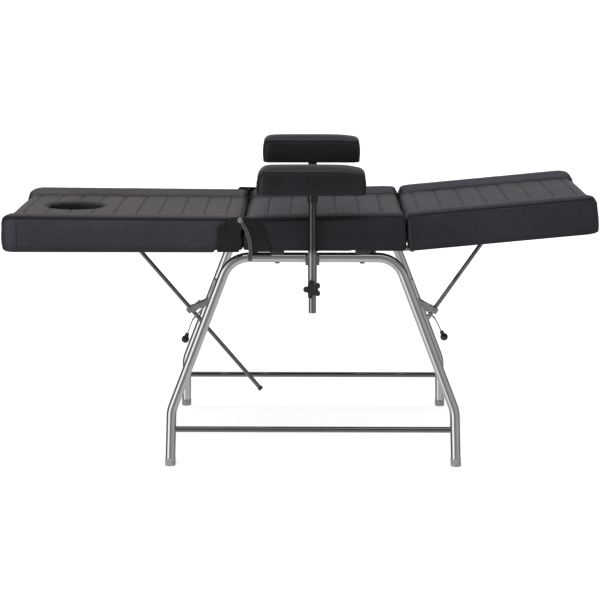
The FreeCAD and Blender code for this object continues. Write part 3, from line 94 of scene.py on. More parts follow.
def fan_faces(first, around, pole, flip=False):
    """Triangles from one ring of points to a pole."""
    j = np.arange(around)
    a, b = first + j, first + (j + 1) % around
    tip = np.full(around, pole)
    return np.stack([b, a, tip] if flip else [a, b, tip], axis=-1)


def closed_rings(rings):
    """Points and faces of a shell whose first and last rings close on poles at their middles."""
    around = rings.shape[1]
    points = np.concatenate([rings.reshape(-1, 3), rings[0].mean(0)[None], rings[-1].mean(0)[None]])
    count = rings.shape[0]
    faces = [ring_faces(count, around), fan_faces(0, around, count * around, True),
             fan_faces((count - 1) * around, around, count * around + 1)]
    return points, faces


def reworked(mesh, change):
    """The mesh after a change made on its bmesh."""
    shell = bmesh.new()
    shell.from_mesh(mesh)
    change(shell)
    shell.to_mesh(mesh)
    shell.free()
    return mesh


def make_mesh(name, points, face_sets, smooth=True):
    """A mesh from points in millimetres and sets of equal-sided faces, with its normals turned outwards."""
    mesh = bpy.data.meshes.new(name)
    face_sets = [np.asarray(faces, dtype=np.int32) for faces in face_sets if len(faces)]
    loops = np.concatenate([faces.ravel() for faces in face_sets])
    sizes = np.concatenate([np.full(len(faces), faces.shape[1]) for faces in face_sets])
    mesh.vertices.add(len(points))
    mesh.vertices.foreach_set("co", (np.asarray(points, dtype=np.float64) * MM).ravel())
    mesh.loops.add(len(loops))
    mesh.loops.foreach_set("vertex_index", loops)
    mesh.polygons.add(len(sizes))
    mesh.polygons.foreach_set("loop_start", np.concatenate([[0], np.cumsum(sizes)[:-1]]).astype(np.int32))
    mesh.update(calc_edges=True)
    mesh.validate()
    reworked(mesh, lambda shell: bmesh.ops.recalc_face_normals(shell, faces=shell.faces))
    mesh.polygons.foreach_set("use_smooth", np.full(len(mesh.polygons), smooth))
    return mesh


def values_of(items, name, wide=1, kind=np.int64):
    """One value, or a row of them, from each item of a mesh."""
    values = np.empty(len(items) * wide, dtype=kind)
    items.foreach_get(name, values)
    return values if wide == 1 else values.reshape(-1, wide)


def read_points(mesh):
    return values_of(mesh.vertices, "co", 3, np.float64) / MM


def write_points(mesh, points):
    mesh.vertices.foreach_set("co", (points * MM).ravel())
    mesh.update()


def set_attribute(mesh, name, values):
    layer = mesh.attributes.new(name, "FLOAT", "POINT")
    layer.data.foreach_set("value", np.asarray(values, dtype=np.float32))


def placed(points, place):
    """Points moved by a 4 x 4 place, all at once."""
    turn = np.array(place)
    return points @ turn[:3, :3].T + turn[:3, 3]


def add_piece(name, mesh, body, material, place=None):
    """One finished object at the origin, its place in its mesh, riding on a body."""
    if place is not None:
        write_points(mesh, placed(read_points(mesh), place))
    item = bpy.data.objects.new(name, mesh)
    bpy.context.scene.collection.objects.link(item)
    mesh.materials.append(material)
    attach(item, body)
    return item


def evaluated(mesh, set_modifier):
    """The mesh after one modifier, taken as a new mesh."""
    helper = bpy.data.objects.new("helper", mesh)
    bpy.context.scene.collection.objects.link(helper)
    set_modifier(helper)
    graph = bpy.context.evaluated_depsgraph_get()
    result = bpy.data.meshes.new_from_object(helper.evaluated_get(graph))
    bpy.data.objects.remove(helper)
    return result


def remeshed(mesh, voxel):
    def set_modifier(item):
        change = item.modifiers.new("voxels", "REMESH")
        change.mode, change.voxel_size, change.adaptivity = "VOXEL", voxel * MM, 0.0
    return evaluated(mesh, set_modifier)


def subdivided(mesh):
    def set_modifier(item):
        change = item.modifiers.new("rounds", "SUBSURF")
        change.levels = change.render_levels = 1
    return evaluated(mesh, set_modifier)


def swelled(mesh, held, cap):
    """The mesh blown up as cloth from its held points, no point moving further than the cap."""
    start = read_points(mesh)
    item = bpy.data.objects.new("swelling", mesh)
    bpy.context.scene.collection.objects.link(item)
    group = item.vertex_groups.new(name="held")
    for level in (CHANNEL_HOLD, 1.0):
        group.add(np.flatnonzero(np.abs(held - level) < 0.05).tolist(), level, "REPLACE")
    cloth = item.modifiers.new("cloth", "CLOTH")
    cloth.settings.vertex_group_mass = "held"
    cloth.settings.use_pressure = True
    cloth.settings.uniform_pressure_force = SWELL_PRESSURE
    cloth.settings.effector_weights.gravity = 0
    cloth.settings.shrink_min = -SWELL_SLACK
    cloth.settings.quality = 4
    cloth.settings.tension_stiffness = cloth.settings.compression_stiffness = 12
    cloth.settings.bending_stiffness = 0.6
    cloth.point_cache.frame_start, cloth.point_cache.frame_end = 1, SWELL_FRAMES
    scene = bpy.context.scene
    for number in range(1, SWELL_FRAMES + 1):
        scene.frame_set(number)
    graph = bpy.context.evaluated_depsgraph_get()
    moved = item.evaluated_get(graph).to_mesh()
    move = read_points(moved) - start
    item.evaluated_get(graph).to_mesh_clear()
    bpy.data.objects.remove(item)
    scene.frame_set(1)
    length = np.linalg.norm(move, axis=1, keepdims=True)
    return start + move * np.minimum(1, cap / np.maximum(length, 1e-9))


def smoothed(mesh, points, rounds):
    """Each point drawn half way to the mean of its neighbours, some rounds."""
    a, b = values_of(mesh.edges, "vertices", 2).T
    count = np.bincount(np.concatenate([a, b]), minlength=len(points))[:, None]
    for _ in range(rounds):
        total = np.stack([np.bincount(a, points[b, k], len(points)) + np.bincount(b, points[a, k], len(points))
                          for k in range(3)], axis=1)
        points = points + (total / np.maximum(count, 1) - points) * 0.5
    return points


# Plan outlines and the covers' profiles

def within(value):
    """A value kept between 0 and 1."""
    return np.clip(value, 0, 1)


def bell(distance, width):
    """A bell curve: 1 at no distance, e to the minus square of distance over width elsewhere."""
    return np.exp(-(distance / width) ** 2)


def plan_ring(start, end, half, start_radius, end_radius, inset=0.0, step=9.0):
    """A rounded rectangle's points: quarter circles at the corners, straight runs between, drawn in by inset."""
    along, across = int((end - start) / step), int(half * 2 / step)
    x0, x1, half = start + inset, end - inset, half - inset
    radii = [max(end_radius - inset, 0.8), max(start_radius - inset, 0.8)]
    arc = np.linspace(0, math.pi / 2, 14)
    corners = [(x1, half, radii[0], 0), (x0, half, radii[1], 1), (x0, -half, radii[1], 2), (x1, -half, radii[0], 3)]
    runs = []
    for x, y, radius, turn in corners:
        centre = np.array([x - radius * (1 if turn in (0, 3) else -1), y - radius * (1 if turn < 2 else -1)])
        angle = arc + turn * math.pi / 2
        runs.append(centre + radius * np.stack([np.cos(angle), np.sin(angle)], axis=1))
    ring = []
    for index, run in enumerate(runs):
        following = runs[(index + 1) % 4][0]
        count = along if index % 2 == 0 else across
        share = np.linspace(0, 1, count + 2)[1:-1, None]
        ring += [run, run[-1] * (1 - share) + following * share]
    return np.concatenate(ring)


def inset_of(points, start, end, half, start_radius, end_radius):
    """How far inside the rounded rectangle each point lies; negative outside."""
    x, y = points[:, 0], np.abs(points[:, 1])
    radius = np.where(x < (start + end) / 2, start_radius, end_radius)
    centre, reach = (start + end) / 2, (end - start) / 2
    qx, qy = np.abs(x - centre) - (reach - radius), y - (half - radius)
    outside = np.hypot(np.maximum(qx, 0), np.maximum(qy, 0))
    return radius - outside - np.minimum(np.maximum(qx, qy), 0)


def roll_over(inset, wide, high):
    """How far the top rolls down near the edge: a quarter ellipse."""
    near = within(1 - inset / wide)
    return high * (1 - np.sqrt(1 - near ** 2))


def section_top(crests, panel_drop, end_drop):
    """Height across a section whose crest changes evenly from start to end: a slightly crowned panel, then a bolster
    that rises as a power of a sine; both ends drop by a parabola, the panel a little more."""
    climb_wide, shoulder, shoulder_wide, shoulder_drop = 40, 268, 18, 3

    def height(x, y, start, end):
        side = np.abs(y)
        along = within((x - start) / (end - start))
        crest = crests[0] + (crests[1] - crests[0]) * along
        valley = crest - BOLSTER_RISE
        to_end = np.minimum(x - start, end - x)
        near_end = within(1 - to_end / END_RUN)
        extra = np.where(along < 0.5, *panel_drop) * within(1 - to_end / PANEL_RUN) ** 2
        panel = valley + PANEL_CROWN * (1 - within(side / PANEL_HALF) ** 2) - extra
        climb = within((side - PANEL_HALF) / climb_wide)
        rise = BOLSTER_RISE * np.sin(climb * math.pi / 2) ** 0.75
        fall = shoulder_drop * within((side - shoulder) / shoulder_wide) ** 2
        bolster = valley + rise - extra * (1 - climb) - fall
        return np.where(side < PANEL_HALF, panel, bolster) - np.where(along < 0.5, *end_drop) * near_end ** 2
    return height


def pad_top(crest, drops):
    """Height of an armrest pad: a crown across as a parabola, with both ends dropping by a parabola."""
    crown, crown_half, runs = 6, 65, (34, 85)

    def height(x, y, start, end):
        near_end = (drops[0] * within(1 - (x - start) / runs[0]) ** 2
                    + drops[1] * within(1 - (end - x) / runs[1]) ** 2)
        return crest - crown * (within(np.abs(y) / crown_half)) ** 2 - near_end
    return height


def oval_inset(points, hole):
    """Rough distance outside the oval hole."""
    x, y, long, wide = hole
    share = np.hypot((points[:, 0] - x) / long, (points[:, 1] - y) / wide)
    return (share - 1) * (long + wide) / 2


def cover_start(plan, top, swell, edge, hole=None):
    """The foam block that the cover starts from: a base below the board, a wall that swells as a parabola, a rolled
    edge and the top as rings of one grid, ending on a pole or at the wall of an oval hole."""
    start, end, half, start_radius, end_radius = plan
    wide, high = edge
    shrink = 1.0
    hole_edge, hole_top, foot = (14, 12), 66, -14

    def ring(inset):
        return plan_ring(start, end, half, start_radius, end_radius, inset)

    outer = ring(0)
    if hole is None:
        inner = np.repeat(np.array([[(start + end) / 2, 0.0]]), len(outer), axis=0)
    else:
        angle = np.arctan2((outer[:, 1] - hole[1]) / hole[3], (outer[:, 0] - hole[0]) / hole[2])
        inner = np.stack([hole[0] + hole[2] * np.cos(angle), hole[1] + hole[3] * np.sin(angle)], axis=1)
    rings = []

    def lay(flat, height):
        rings.append(np.column_stack([flat, np.broadcast_to(height, len(flat))]))

    base = ring(shrink + 3)
    for share in np.linspace(0.02 if hole is None else 0, 1, 26):
        lay(inner * (1 - share) + base * share, FOAM_FOOT)
    wall_top = top(outer[:, 0], outer[:, 1], start, end).min() - high
    for height in np.linspace(foot, wall_top, 14):
        rise = within(height / wall_top)
        lay(ring(shrink - swell * (1 - (2 * rise - 1) ** 2)), height)
    for share in np.linspace(0, 1, 9):
        inset = wide * (1 - math.cos(share * math.pi / 2))
        flat = ring(shrink + inset)
        lay(flat, top(flat[:, 0], flat[:, 1], start, end) - roll_over(inset, wide, high) - shrink)
    lip = ring(shrink + wide)
    for share in np.linspace(0, 1, 60)[1:]:
        flat = lip * (1 - share) + inner * share
        if hole is None and share == 1:
            break
        height = top(flat[:, 0], flat[:, 1], start, end) - shrink
        if hole is not None:
            height = height - roll_over(np.maximum(oval_inset(flat, hole), 0), *hole_edge)
        lay(flat, height)
    if hole is not None:
        for height in np.linspace(hole_top, foot, 10):
            lay(inner, height)
        points = np.concatenate(rings)
        return make_mesh("foam", points, [ring_faces(len(rings), len(outer), joined=True)])
    points, faces = closed_rings(np.array(rings))
    return make_mesh("foam", points, faces)


def boundary_edges(mesh):
    """Pairs of points of the edges that only one face uses."""
    uses = np.bincount(values_of(mesh.loops, "edge_index"), minlength=len(mesh.edges))
    return values_of(mesh.edges, "vertices", 2)[uses == 1]


def cut_base(mesh, height):
    """The mesh without everything below a height."""
    def cut(shell):
        bmesh.ops.bisect_plane(shell, geom=shell.verts[:] + shell.edges[:] + shell.faces[:],
                               plane_co=(0, 0, height * MM), plane_no=(0, 0, -1), clear_outer=True)
    return reworked(mesh, cut)


def fill_open(shell):
    """Closes every open rim with flat triangles and turns the normals outwards."""
    bmesh.ops.triangle_fill(shell, edges=[edge for edge in shell.edges if edge.is_boundary], use_beauty=True)
    bmesh.ops.recalc_face_normals(shell, faces=shell.faces)


def turned_under(mesh, plan, lip, board, keep_clear=(), hole=None):
    """The cover carried on under its board: from the cut edge round the board's lower corner, in under the board by
    the lip's width and back up its side, then closed above the board. The lip is its depth and width, the board its
    setback and thickness. Where something is bolted to the board the lip ends beside it. Each ring keeps the
    outline's corner circles, drawn in by its inset."""
    start, end, half, start_radius, end_radius = plan
    setback, board_top = board
    depth, width = lip
    edges = boundary_edges(mesh)
    points = read_points(mesh)
    rim = np.unique(edges)
    order = np.full(len(points), -1)
    order[rim] = np.arange(len(rim))
    spots = points[rim]
    around_hole = np.zeros(len(rim), bool) if hole is None else oval_inset(spots, hole) < 20
    wall = setback - 2.4                # the cloth behind the board's edge
    lap = 0.4                           # kept above the board, and below it where the lip ends early
    beside, fade = 4, 8                 # gap to a bolted part, and the run over which the lip ends there
    hole_lip = 2.2
    free = np.ones(len(rim))
    for x0, x1, y0, y1 in keep_clear:
        gap = np.hypot(np.maximum(np.maximum(x0 - spots[:, 0], spots[:, 0] - x1), 0),
                       np.maximum(np.maximum(y0 - np.abs(spots[:, 1]), np.abs(spots[:, 1]) - y1), 0))
        free = np.minimum(free, within((gap - beside) / fade))
    # each ring: how far in, which rule gives its height, its share of the depth, and how much wider the hole is
    steps = [(0.5, "low", 1.6, -1.4), (1.3, "drop", 0.35, -1.0), (2.6, "drop", 0.75, 0.6), (5.0, "drop", 1.0, 3.0),
             (9.0, "drop", 0.92, 6.0), (width - 6, "drop", 0.7, 9.0), (width - 1.5, "drop", 0.5, 9.0),
             (width, "under", 0.0, 9.0), (wall, "under", 0.0, 0.6), (wall, "above", 0.0, 0.6)]
    radius = np.where(spots[:, 0] < (start + end) / 2, start_radius, end_radius)
    angle = None if hole is None else np.arctan2((spots[:, 1] - hole[1]) / hole[3],
                                                 (spots[:, 0] - hole[0]) / hole[2])
    rings = []
    for inset, kind, share, wider in steps:
        reach = np.minimum(inset, wall) * (1 - free) + inset * free
        edge = np.maximum(radius, reach)
        core_x = np.clip(spots[:, 0], start + edge, end - edge)
        core_y = np.clip(spots[:, 1], -half + edge, half - edge)
        away = np.column_stack([spots[:, 0] - core_x, spots[:, 1] - core_y])
        length = np.maximum(np.linalg.norm(away, axis=1), 1e-6)
        keep = np.maximum(radius - reach, 0.0)
        flat = np.column_stack([core_x, core_y]) + away / length[:, None] * keep[:, None]
        blend = min(inset / 2.6, 1.0) if kind in ("low", "drop") else 1.0
        flat = flat * blend + spots[:, :2] * (1 - blend)
        heights = {"low": np.full(len(rim), share), "drop": -share * depth * free + 0.5 * (1 - free),
                   "under": -0.3 * free + lap * (1 - free), "above": np.full(len(rim), board_top + lap)}
        z = heights[kind]
        if hole is not None:
            oval = np.column_stack([hole[0] + (hole[2] + wider) * np.cos(angle),
                                    hole[1] + (hole[3] + wider) * np.sin(angle)])
            flat = np.where(around_hole[:, None], oval, flat)
            hole_heights = {"low": share, "drop": -share * hole_lip, "under": -0.3, "above": board_top + lap}
            z = np.where(around_hole, hole_heights[kind], z)
        rings.append(np.column_stack([flat, z]))
    added = np.concatenate(rings)
    first, count = len(points), len(rim)
    a, b = order[edges[:, 0]], order[edges[:, 1]]
    quads = [np.column_stack([edges[:, 0], edges[:, 1], first + b, first + a])]
    for index in range(len(steps) - 1):
        low, high = first + index * count, first + (index + 1) * count
        quads.append(np.column_stack([low + a, low + b, high + b, high + a]))
    old, sizes = values_of(mesh.loops, "vertex_index"), values_of(mesh.polygons, "loop_total")
    starts = np.concatenate([[0], np.cumsum(sizes)[:-1]])
    sets = [old[(starts[sizes == n][:, None] + np.arange(n))] for n in np.unique(sizes)]
    result = reworked(make_mesh("cover", np.concatenate([points, added]), sets + [np.concatenate(quads)]), fill_open)
    result.polygons.foreach_set("use_smooth", np.ones(len(result.polygons), bool))
    return result


def channel_places(start, end):
    """Where the sewn channels cross the panel, at equal pitch about its middle."""
    count = int((end - start) / CHANNEL_PITCH)
    return (start + end) / 2 + (np.arange(count) - (count - 1) / 2) * CHANNEL_PITCH


def lines_through(value, places):
    """Distance from each value to the nearest of some places."""
    return np.abs(value[:, None] - np.asarray(places)[None]).min(1)


def section_of(name, body, place, plan, crests, panel_drop, end_drop, hole=None, **fields):
    """One padded section in its own frame, its board's underside at Z = 0, with its top as a function."""
    return SimpleNamespace(name=name, body=body, place=place, plan=plan, hole=hole, start=plan[0], end=plan[1],
                           channels=channel_places(plan[0], plan[1]), top=section_top(crests, panel_drop, end_drop),
                           **fields)


def crest_of(section, x):
    """Height of the bolster's crest at each place along the section."""
    return section.top(x, np.full(len(x), BOLSTER_MIDDLE), section.start, section.end)


def held_share(section, points):
    """How firmly each point is held while the cover swells: a channel in part, seams, hole and foot fully."""
    x, y, z = points.T
    side = np.abs(y)
    held = np.zeros(len(points))
    held[(z > UPPER) & (lines_through(x, section.channels) < 4) & (side < PANEL_HALF)] = CHANNEL_HOLD
    held[(z > UPPER) & (np.abs(side - PANEL_HALF) < 5)] = 1.0
    held[(np.abs(crest_of(section, x) - z - 12) < 4) & (inset_of(points, *section.plan) < 9)] = 1.0
    if section.hole is not None:
        held[oval_inset(points, section.hole) < 3] = 1.0
    held[z < 14] = 1.0
    return held


def swelled_section(section):
    """The section's foam block swelled as cloth, then its end faces pressed out by the square of the nearness to the
    end, as soft ends do that lie against each other."""
    start, end, half = section.plan[:3]
    mesh = remeshed(cover_start(section.plan, section.top, 1.6, EDGE, section.hole), 6.0)
    points = read_points(mesh)
    x, y, z = points.T
    move = smoothed(mesh, swelled(mesh, held_share(section, points), 9.0) - points, 8)
    share = np.where(np.abs(y) < PANEL_HALF, 1.0, 0.55) * np.where(crest_of(section, x) - z > 12, 0.5, 1.0)
    x, y, z = smoothed(mesh, points + move * share[:, None], 2).T
    run = 34
    level = within((z + 6) / 14) * within((103 - z) / 12)
    belly = np.sin(level * math.pi / 2) * np.clip((half + 30 - np.abs(y)) / 60, 0.9, 1)
    x = x - section.bulge[0] * belly * within(1 - (x - start) / run) ** 2
    x = x + section.bulge[1] * belly * within(1 - (end - x) / run) ** 2
    write_points(mesh, np.column_stack([x, y, z]))
    return subdivided(mesh)


def sewn_in(section, mesh):
    """Presses the sewing in: channels and side seams as bell-shaped grooves, folds as sines that fade away from their
    seam, and the side band's seam. Then no end reaches past its limit, and the low sides lie flat."""
    start, end, half, start_radius, end_radius = section.plan
    points = read_points(mesh)
    x, y, z = points.T
    side, inset = np.abs(y), inset_of(points, *section.plan)
    upper = (z > UPPER) & (section.top(x, y, start, end) - z < 30)
    to_channel = lines_through(x, section.channels)
    panel_fade = within((PANEL_HALF - 3 - side) / 6)
    groove = 3.0 * bell(to_channel, 3.0) * panel_fade
    valley = 2.6 * bell(side - PANEL_HALF, 3.0)
    # short folds that run out from each seam, deepest where a channel meets the side seam
    corner = bell(to_channel, 9) * bell(side - PANEL_HALF, 16)
    ripple = np.sin(y * 0.31 + 2.4 * np.sin(y * 0.043 + x * 0.021)) * bell(to_channel, 10) * panel_fade
    gather = np.sin(x * 0.33 + 2.6 * np.sin(x * 0.047)) * bell(side - PANEL_HALF, 16)
    # folds that fan out from the panel's four corners
    to_end = np.minimum(x - start, end - x)
    fan = np.sin(11 * np.arctan2(to_end, PANEL_HALF + 8 - side) + 2)
    reach_out = np.hypot(to_end, PANEL_HALF - side)
    fan = fan * bell(reach_out, 55) * within(reach_out / 12)
    sink = groove + valley + 1.6 * corner - 0.5 * ripple - 0.7 * gather - 0.8 * fan
    clear = 1.0 if section.hole is None else within(oval_inset(points, section.hole) / 10)
    z = z - np.where(upper & (inset > 10), sink * clear, 0)
    # the seam between the top and the side band, pulled in a little
    pull = 1.1 * bell(crest_of(section, x) - SIDE_SEAM - z, 2.6)
    pull = pull * within((inset + 6) / 4) * (inset < 8)
    at_side = side > half - 12
    x = x - np.where(at_side, 0, np.sign(x - (start + end) / 2)) * pull
    y = y - np.where(at_side, np.sign(y), 0) * pull
    x = np.clip(x, start - section.reach[0], end + section.reach[1])
    y = np.clip(y, -half - 2.2, half + 2.2)
    straight = (inset < 9) & (np.abs(y) > half - 8) & (x > start + start_radius) & (x < end - end_radius)
    y = np.where((z < 24) & straight, np.sign(y) * np.maximum(np.abs(y), half - 1.4), y)
    write_points(mesh, np.column_stack([x, y, z]))


def mark_section(section, mesh):
    """Sets 'seam', the distance to the nearest seam, and 'tone': painted shade near black at the rims and in the hole,
    painted light up to 1 on top.
    """
    start, end, half, start_radius, end_radius = section.plan
    points = read_points(mesh)
    x, y, z = points.T
    side, inset = np.abs(y), inset_of(points, *section.plan)
    fall = crest_of(section, x) - z
    on_panel = (z > UPPER) & (side < PANEL_HALF + 20)
    in_channels = on_panel & (side < PANEL_HALF) & (inset > 12)
    corners = [start + start_radius + 8, end - end_radius - 8]
    seams = [np.where(inset < 8, np.abs(fall - SIDE_SEAM), NO_SEAM),
             np.where(on_panel, np.abs(side - PANEL_HALF), NO_SEAM),
             np.where(in_channels, lines_through(x, section.channels) + 0.8, NO_SEAM),
             np.where((inset < 6) & (fall > SIDE_SEAM) & (side > half - 14), lines_through(x, corners), NO_SEAM)]
    if section.hole is not None:
        away = oval_inset(points, section.hole)
        seams.append(np.where((z > UPPER) & (away < 20), np.abs(away - 9), NO_SEAM))
    set_attribute(mesh, "seam", np.minimum.reduce(seams) * MM)
    painted_side_shading, painted_rim_shade, painted_top_light = section.tones
    # painted light on the top, a little weaker on the bolsters than on the panel, and painted shade near black along
    # the rim
    panel = within((PANEL_HALF + 0.5 - side) / 2.5)
    on_top = ((0.82 + 0.18 * panel) * painted_top_light * within((inset - 9) / 7)
              + painted_rim_shade * within((16 - inset) / 7))
    # painted shade on the sides: darker towards the ends and along the bottom edge, lighter upwards; below the rim the
    # painted rim shade returns
    corner = bell(np.minimum(x - start, end - x), 22)
    band = painted_side_shading * (1 - 0.5 * corner) * (1 - 0.35 * bell(np.maximum(z - CUT, 0), 9))
    band = band * (0.86 + 0.26 * within((z - 10) / 80))
    on_side = band * within((fall - 14) / 3) + painted_rim_shade * within((17 - fall) / 3)
    tone = np.where(z < UPPER, band, np.where((inset > 7) | (fall < 5), within(on_top), on_side))
    # painted shade in the face hole, darkening its wall
    if section.hole is not None:
        tone = np.where(z > 5, tone * np.clip((away - 2) / 6, 0.1, 1), tone)
    set_attribute(mesh, "tone", tone)


def section_cover(section):
    """A sewn section: foam block, swelled cloth, sewing pressed in, edge turned under the board."""
    mesh = swelled_section(section)
    sewn_in(section, mesh)
    mesh = turned_under(cut_base(mesh, CUT), section.plan, section.lip, SECTION_BOARD, section.keep_clear,
                        section.hole)
    mark_section(section, mesh)
    return mesh


def pad_cover(plan, top):
    """An armrest pad: a crowned top sewn to a side band, the band joined at the corners."""
    start, end, half, start_radius, end_radius = plan

    def crest_at(x):
        return top(x, np.zeros(len(x)), start, end)

    mesh = remeshed(cover_start(plan, top, 2.0, PAD_EDGE), 4.5)
    points = read_points(mesh)
    x, y, z = points.T
    held = np.zeros(len(points))
    held[z < 12] = 1.0
    held[(np.abs(crest_at(x) - z - PAD_SEAM) < 3) & (inset_of(points, *plan) < 9)] = 1.0
    move = smoothed(mesh, swelled(mesh, held, 6.0) - points, 8)
    write_points(mesh, smoothed(mesh, points + move * 0.45, 2))
    mesh = subdivided(mesh)
    points = read_points(mesh)
    x, y, z = points.T
    pull = 1.3 * bell(crest_at(x) - PAD_SEAM - z, 2.4) * (inset_of(points, *plan) < 8)
    middle = (start + end) / 2
    ends = np.abs(x - middle) > (end - start) / 2 - 12
    x = np.clip(x - np.where(ends, np.sign(x - middle), 0) * pull, start - 1.5, end + 1.5)
    y = np.clip(y - np.where(ends, 0, np.sign(y)) * pull, -half - 1.5, half + 1.5)
    write_points(mesh, np.column_stack([x, y, np.minimum(z, 90.0)]))
    mesh = turned_under(cut_base(mesh, CUT), plan, (2.4, 22.0), PAD_BOARD)
    points = read_points(mesh)
    x, y, z = points.T
    inset, fall = inset_of(points, *plan), crest_at(x) - z
    corners = [start + start_radius + 2, end - end_radius - 2]
    at_corner = (inset < 6) & (fall > PAD_SEAM) & (np.abs(y) > half - 14)
    seams = [np.where(inset < 9, np.abs(fall - PAD_SEAM), NO_SEAM),
             np.where(at_corner, lines_through(x, corners), NO_SEAM)]
    set_attribute(mesh, "seam", np.minimum.reduce(seams) * MM)
    # 'tone' keeps the pad near black, painted shade, with a painted highlight along its rolled top edge
    set_attribute(mesh, "tone", 0.058 + 0.18 * bell(fall - 9, 4.5))
    return mesh


# Thread: one small stitch repeated along rows that are dropped onto the cover

STITCH = np.array([[-2.3, 0.0, -0.5], [-1.5, 0.42, 0.05], [-1.5, -0.42, 0.05], [-1.5, 0.0, 0.5], [1.5, 0.42, 0.05],
                   [1.5, -0.42, 0.05], [1.5, 0.0, 0.5], [2.3, 0.0, -0.5]])
STITCH_FACES = np.array([[0, 1, 3], [0, 3, 2], [0, 2, 1], [1, 4, 6], [1, 6, 3], [3, 6, 5], [3, 5, 2], [2, 5, 4],
                         [2, 4, 1], [7, 6, 4], [7, 5, 6], [7, 4, 5]])


def sewn_rows(mesh, rows, pitch=6.0):
    """Stitches along rows of places in plan: each row is divided evenly, dropped onto the cover from above and given
    one stitch per place, turned along the row and standing on the cover's normal."""
    mesh.calc_loop_triangles()
    triangles = values_of(mesh.loop_triangles, "vertices", 3, np.int32)
    tree = BVHTree.FromPolygons(read_points(mesh).tolist(), triangles.tolist())
    high, down = 160.0, Vector((0, 0, -1))
    all_points = []
    for row in rows:
        run = np.concatenate([[0], np.cumsum(np.linalg.norm(np.diff(row, axis=0), axis=1))])
        count = max(int(run[-1] / pitch), 2)
        marks = (np.arange(count) + 0.5) * run[-1] / count
        spots = zip(np.interp(marks, run, row[:, 0]), np.interp(marks, run, row[:, 1]))
        hits = [hit for hit in (tree.ray_cast(Vector((x, y, high)), down) for x, y in spots) if hit[0] is not None]
        if len(hits) < 3:
            continue
        place, normal = np.array([hit[0] for hit in hits]), np.array([hit[1] for hit in hits])
        along = np.gradient(place, axis=0)
        along -= normal * (along * normal).sum(1, keepdims=True)
        along /= np.linalg.norm(along, axis=1, keepdims=True)
        across = np.cross(normal, along)
        stand = place + normal * 0.12
        parts = (along[:, None] * STITCH[None, :, 0:1] + across[:, None] * STITCH[None, :, 1:2]
                 + normal[:, None] * STITCH[None, :, 2:3] + stand[:, None])
        all_points.append(parts.reshape(-1, 3))
    points = np.concatenate(all_points)
    count = len(points) // len(STITCH)
    faces = (STITCH_FACES[None] + np.arange(count)[:, None, None] * len(STITCH)).reshape(-1, 3)
    return points, faces


def section_thread(mesh, section):
    """Stitches along the channels, beside both side seams, round the rim and round the hole."""
    hole, beside_seam, rows = section.hole, PANEL_HALF + 5.5, []
    for x in section.channels:
        row = np.column_stack([np.full(40, x), np.linspace(-PANEL_HALF + 4, PANEL_HALF - 4, 40)])
        if hole is not None:
            row = row[oval_inset(row, hole) > 14]
        # the hole parts a channel's row in two
        rows += [part for part in np.split(row, np.flatnonzero(np.diff(row[:, 1]) > 30) + 1) if len(part)]
    for y in (-beside_seam, beside_seam):
        rows.append(np.column_stack([np.linspace(section.start + 8, section.end - 8, 60), np.full(60, y)]))
    ring = plan_ring(*section.plan, inset=6.0)
    rows.append(np.concatenate([ring, ring[:1]]))
    if hole is not None:
        angle = np.linspace(0, 2 * math.pi, 90)
        rows.append(np.column_stack([hole[0] + (hole[2] + 12) * np.cos(angle),
                                     hole[1] + (hole[3] + 12) * np.sin(angle)]))
    return sewn_rows(mesh, rows)


def pad_thread(mesh, plan):
    """Stitches round a pad's rim."""
    ring = plan_ring(*plan, inset=5.0, step=6.0)
    return sewn_rows(mesh, [np.concatenate([ring, ring[:1]])], 5.0)


# Materials

def new_finish(name):
    """A material with its Principled shader and the Object coordinates that its patterns read."""
    material = bpy.data.materials.new(name)
    material.use_nodes = True
    tree = material.node_tree
    tree.nodes.clear()
    output = tree.nodes.new("ShaderNodeOutputMaterial")
    shader = tree.nodes.new("ShaderNodeBsdfPrincipled")
    tree.links.new(shader.outputs[0], output.inputs[0])
    return material, tree, shader, tree.nodes.new("ShaderNodeTexCoord").outputs["Object"]


def add_node(tree, kind, source=None, **settings):
    """A node with its settings, values for its sockets by name, and a source for its first input."""
    item = tree.nodes.new("ShaderNode" + kind)
    for name, value in settings.items():
        if hasattr(item, name):
            setattr(item, name, value)
        else:
            item.inputs[name].default_value = value
    if source is not None:
        tree.links.new(source, item.inputs[0])
    return item


def noise(tree, source, scale, detail, roughness=0.5, distortion=0.0):
    return add_node(tree, "TexNoise", source, Scale=scale, Detail=detail, Roughness=roughness,
                    Distortion=distortion).outputs[0]


def stretched(tree, source, scale):
    return add_node(tree, "Mapping", source, Scale=scale).outputs[0]


def feed(tree, shader, **sources):
    """Links sources to the shader's sockets; a plain value is set."""
    for name, source in sources.items():
        socket = shader.inputs[name.replace("_", " ")]
        if hasattr(source, "is_linked"):
            tree.links.new(source, socket)
        else:
            socket.default_value = source


def ramp(tree, source, low, high, from_low=0.0, from_high=1.0):
    """A value stretched from one range onto another."""
    item = tree.nodes.new("ShaderNodeMapRange")
    for name, value in (("From Min", from_low), ("From Max", from_high), ("To Min", low), ("To Max", high)):
        item.inputs[name].default_value = value
    tree.links.new(source, item.inputs["Value"])
    return item.outputs["Result"]


def maths(tree, operation, first, second=None):
    item = tree.nodes.new("ShaderNodeMath")
    item.operation = operation
    for socket, value in zip(item.inputs, (first, second)):
        if value is None:
            continue
        if isinstance(value, (int, float)):
            socket.default_value = value
        else:
            tree.links.new(value, socket)
    return item.outputs[0]


